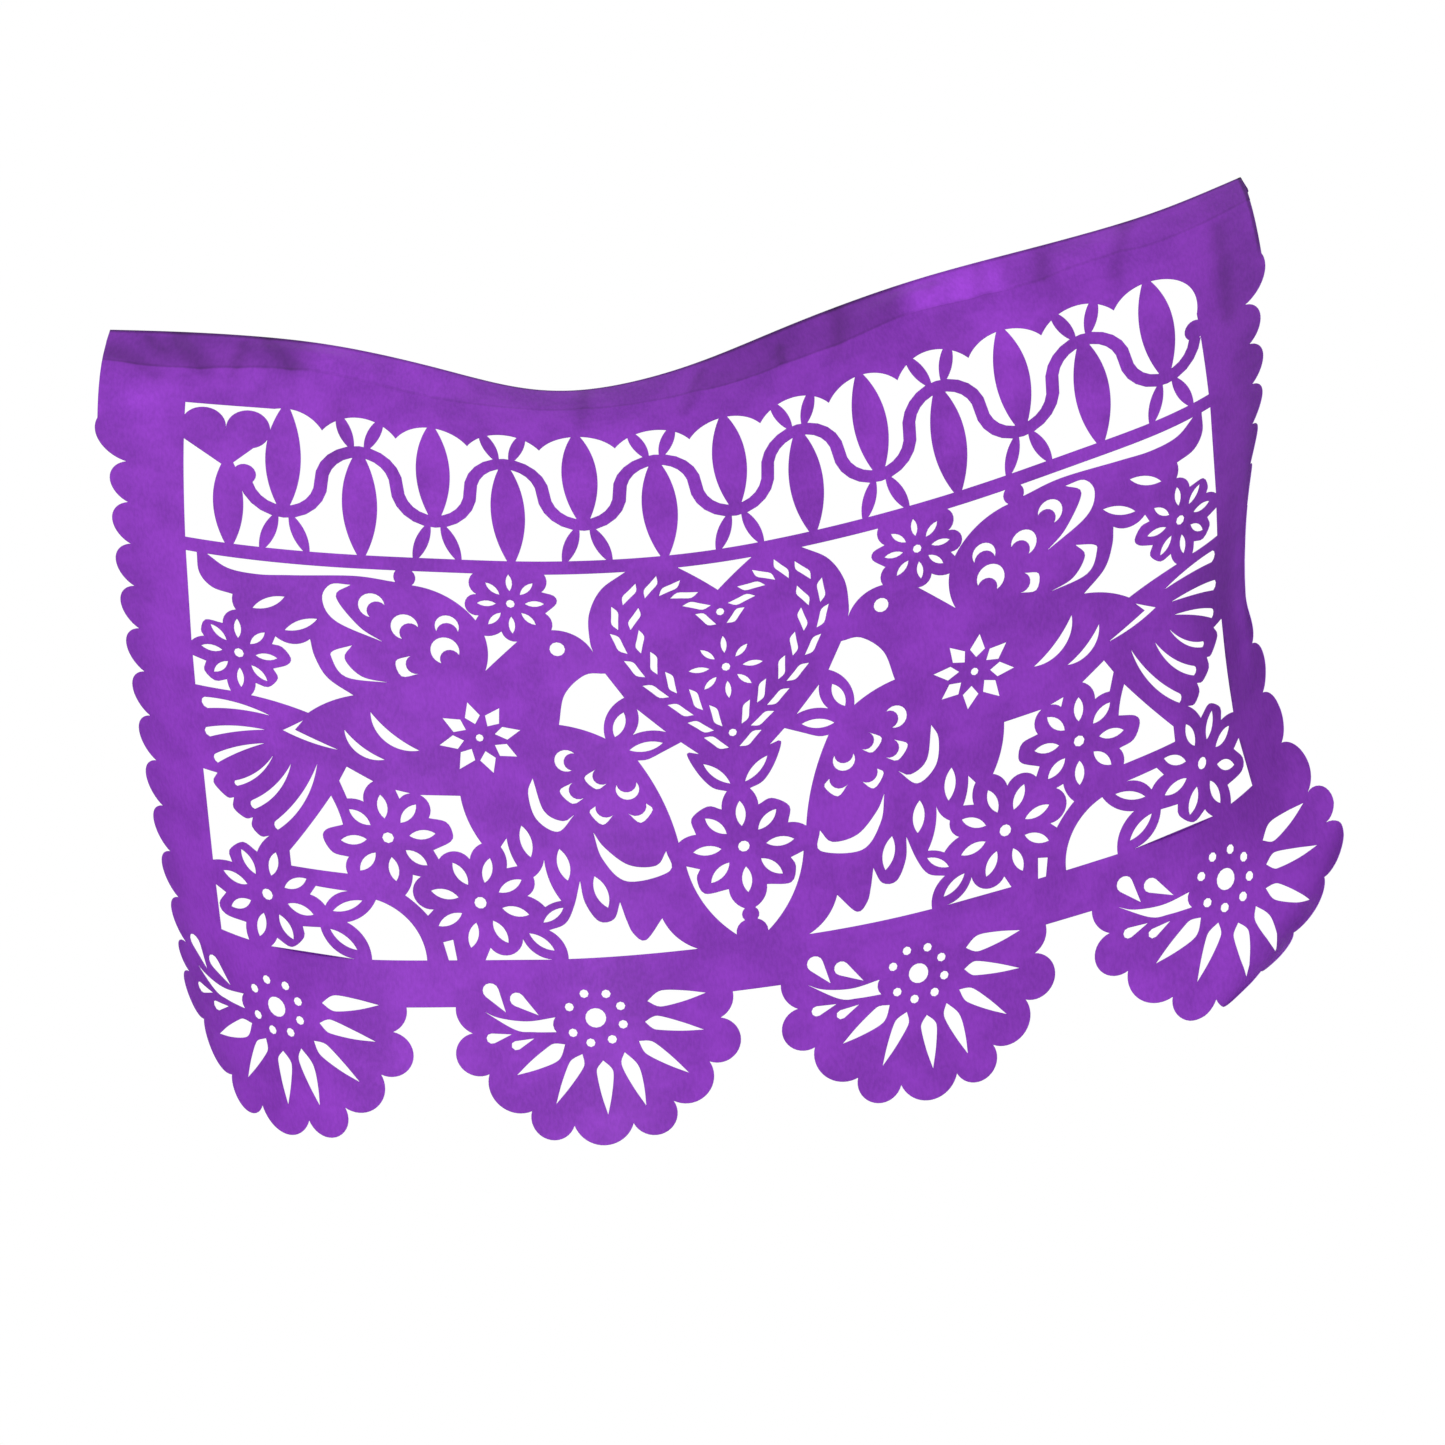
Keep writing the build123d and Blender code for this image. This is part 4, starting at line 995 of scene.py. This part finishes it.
def tissue_paper():
    """Purple tissue paper, drawn on the flat sheet's own coordinates."""
    material = bpy.data.materials.new("tissue_paper")
    material.use_nodes = True
    graph = Graph(material.node_tree)
    place = graph.node("ShaderNodeUVMap", uv_map="flat")["UV"]
    parts = graph.node("ShaderNodeSeparateXYZ", {"Vector": place})
    drop = parts["Y"] * 1000
    across = parts["X"] * 1000
    shade = graph.node("ShaderNodeAttribute", attribute_name="shade")["Fac"]
    hem_shade = graph.node("ShaderNodeAttribute", attribute_name="hem_shade")["Fac"]

    def noise(scale, detail, stretch=(1, 1, 1)):
        moved = graph.node("ShaderNodeMapping", {"Vector": place, "Scale": stretch})["Vector"]
        values = {"Vector": moved, "Scale": scale, "Detail": detail, "Roughness": 0.6}
        return graph.node("ShaderNodeTexNoise", values)["Fac"]

    fibres = noise(900, 4, (1, 0.45, 1))
    clouds = noise(38, 3)
    # masks in millimetres below the fold and from the middle
    hem = 1 - drop.between(HEM_DEPTH - 0.3, HEM_DEPTH + 0.3)
    # painted shade along the fold line, front and back
    fold = drop.between(1.8, 0.2) * drop.between(-3.5, -2.0)
    # painted shade: a thin dark strip on the upper right edge, where the rim's shaded back shows
    side = across.between(223.2, 224.2) * (1 - drop.between(38, 50))
    # painted shadow of the flap's lower edge, seen through the sheet
    flap_edge_shadow = drop.between(15.2, 15.9) * (1 - drop.between(16.7, 17.2))
    mottle = fibres.between(0.3, 0.7) * 0.3 + clouds.between(0.35, 0.65) * 0.4
    # tone darkens the dye with all the painted shade above and lightens it where painted highlights
    # and sheen are below zero
    tone = 1 - (shade + hem * hem_shade + flap_edge_shadow * 0.10 + fold * 0.40 + side * 0.45)

    dyes = {"Factor": mottle, "A": LIGHT_DYE, "B": DARK_DYE}
    plain = graph.node("ShaderNodeMix", dyes, data_type="RGBA")["Result"]
    scaled = {"Vector": plain, "Scale": tone}
    dye_with_painted_light = graph.node("ShaderNodeVectorMath", scaled, operation="SCALE")["Vector"]
    wrinkles = abs(noise(48, 2) - 0.5) * (drop.between(55, 12) * 9 + 1)
    height = fibres * 0.6 + noise(120, 5) * 0.4 + wrinkles
    bumps = {"Height": height, "Strength": 0.25, "Distance": 0.0004}
    normal = graph.node("ShaderNodeBump", bumps)["Normal"]
    surface = {"Base Color": dye_with_painted_light, "Roughness": 0.62, "Normal": normal, "Specular IOR Level": 0.15}
    front = graph.node("ShaderNodeBsdfPrincipled", surface)["BSDF"]
    through = graph.node("ShaderNodeBsdfTranslucent", {"Color": GLOW})["BSDF"]
    shares = {0: 0.2 - hem * 0.08, 1: front, 2: through}
    both = graph.node("ShaderNodeMixShader", shares)["Shader"]
    graph.node("ShaderNodeOutputMaterial", {"Surface": both})
    return material


tissue = tissue_paper()
print(tissue.name, "has", len(tissue.node_tree.nodes), "nodes")

# %% [markdown]
# ## Thickness
# A Solidify modifier could thicken the sheet. Geometry Nodes does the same from three
# plain steps that can be read: the faces are pulled out to the front, a turned copy closes
# the back, and the seams are merged. Thickness and material are inputs. Edges that turn by
# more than a set angle are kept sharp, so that light shows the paper flat up to its cuts.

# %% Paper thickness
PAPER = 0.15
SHARP_ANGLE = math.radians(40)


def thickness_group():
    """Node group that turns a sheet of faces into a thin closed body."""
    tree = bpy.data.node_groups.new("paper_thickness", "GeometryNodeTree")
    sockets = [
        ("Geometry", "INPUT", "NodeSocketGeometry"), ("Thickness", "INPUT", "NodeSocketFloat"),
        ("Material", "INPUT", "NodeSocketMaterial"), ("Geometry", "OUTPUT", "NodeSocketGeometry"),
    ]
    for name, side, kind in sockets:
        tree.interface.new_socket(name, in_out=side, socket_type=kind)
    graph = Graph(tree)
    given = graph.node("NodeGroupInput")
    pull = {"Mesh": given["Geometry"], "Offset Scale": given["Thickness"], "Individual": False}
    front = graph.node("GeometryNodeExtrudeMesh", pull)["Mesh"]
    back = graph.node("GeometryNodeFlipFaces", {"Mesh": given["Geometry"]})["Mesh"]
    joined = graph.node("GeometryNodeJoinGeometry", {"Geometry": [front, back]})["Geometry"]
    close = {"Geometry": joined, "Distance": 2e-6}
    merged = graph.node("GeometryNodeMergeByDistance", close)["Geometry"]
    real = graph.node("GeometryNodeRealizeInstances", {"Geometry": merged})["Geometry"]
    painted = {"Geometry": real, "Material": given["Material"]}
    done = graph.node("GeometryNodeSetMaterial", painted)["Geometry"]
    graph.node("NodeGroupOutput", {"Geometry": done})
    return tree


def apply_group(thing, tree, values):
    """Run a node group on an object and keep its result as the object's mesh."""
    modifier = thing.modifiers.new(tree.name, "NODES")
    modifier.node_group = tree
    names = {item.name: item.identifier for item in tree.interface.items_tree
             if item.in_out == "INPUT"}
    for name, value in values.items():
        modifier[names[name]] = value
    graph = bpy.context.evaluated_depsgraph_get()
    result = bpy.data.meshes.new_from_object(thing.evaluated_get(graph))
    thing.modifiers.remove(modifier)
    result.name = thing.name
    thing.data = result


apply_group(panel, thickness_group(), {"Thickness": PAPER / 1000, "Material": tissue})
body = bmesh.new()
body.from_mesh(panel.data)
for edge in body.edges:
    edge.smooth = edge.calc_face_angle(0.0) < SHARP_ANGLE
body.to_mesh(panel.data)
odd_edges = sum(1 for edge in body.edges if len(edge.link_faces) != 2)
print(len(body.faces), "faces;", odd_edges, "edge where two openings touch")
print("volume", round(body.calc_volume() * 1e9), "mm3")
body.free()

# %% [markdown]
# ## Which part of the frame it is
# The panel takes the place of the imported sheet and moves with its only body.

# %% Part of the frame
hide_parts("paper_panel")
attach(panel, "root")
paper_area / 1e6

# %% [markdown]
# ## Studio
# A pale floor lies below and the world is an even white. One soft light alone would leave
# the bends flat, so a large one comes from the front right and a weaker one from behind,
# and the tissue glows a little.

# %% Studio
FLOOR = 6.0
FLOOR_HEIGHT = -1.0
floor_mesh = bpy.data.meshes.new("floor")
floor_corners = [(FLOOR * x, FLOOR * y, FLOOR_HEIGHT) for x, y in ((-1, -1), (1, -1), (1, 1), (-1, 1))]
floor_mesh.from_pydata(floor_corners, [], [(0, 1, 2, 3)])
floor = bpy.data.objects.new("floor", floor_mesh)
bpy.context.scene.collection.objects.link(floor)
floor_paint = bpy.data.materials.new("floor_paint")
floor_paint.use_nodes = True
paint_graph = Graph(floor_paint.node_tree)
paint = {"Base Color": (0.82, 0.82, 0.81, 1), "Roughness": 0.9}
painted = paint_graph.node("ShaderNodeBsdfPrincipled", paint)["BSDF"]
paint_graph.node("ShaderNodeOutputMaterial", {"Surface": painted})
floor_mesh.materials.append(floor_paint)


def soft_light(name, place, target, size, power):
    """Square area light that looks at a target."""
    data = bpy.data.lights.new(name, "AREA")
    data.size = size
    data.energy = power
    lamp = bpy.data.objects.new(name, data)
    lamp.location = place
    lamp.rotation_euler = (Vector(target) - Vector(place)).to_track_quat("-Z", "Y").to_euler()
    bpy.context.scene.collection.objects.link(lamp)


middle = (0.03, 0.0, -0.16)
soft_light("key_light", (0.6, -1.65, -0.1), middle, size=0.9, power=40)
soft_light("back_light", (0.5, 1.3, 0.5), middle, size=1.4, power=4)
world = bpy.data.worlds.new("white_room")
world.use_nodes = True
world_graph = Graph(world.node_tree)
sky = world_graph.node("ShaderNodeBackground", {"Color": (1, 1, 1, 1), "Strength": 1.0})
world_graph.node("ShaderNodeOutputWorld", {"Surface": sky["Background"]})
bpy.context.scene.world = world
bpy.context.scene.view_settings.view_transform = "Standard"
print("studio has a floor at", FLOOR_HEIGHT, "m and two lights")

# %% [markdown]
# ## Camera
# The view is from below and a little to the right, through a long lens that keeps the
# panel's lines nearly parallel.

# %% Camera
camera_data = bpy.data.cameras.new("camera")
camera_data.lens = 108.54
camera_data.sensor_width = 36.0
camera_data.clip_start = 0.05
camera = bpy.data.objects.new("camera", camera_data)
camera.location = (0.18127, -1.41599, -0.7424)
camera.rotation_euler = [math.radians(a) for a in (113.013, 4.452, 9.123)]
bpy.context.scene.collection.objects.link(camera)
bpy.context.scene.camera = camera
print("camera at", [round(c, 3) for c in camera.location])
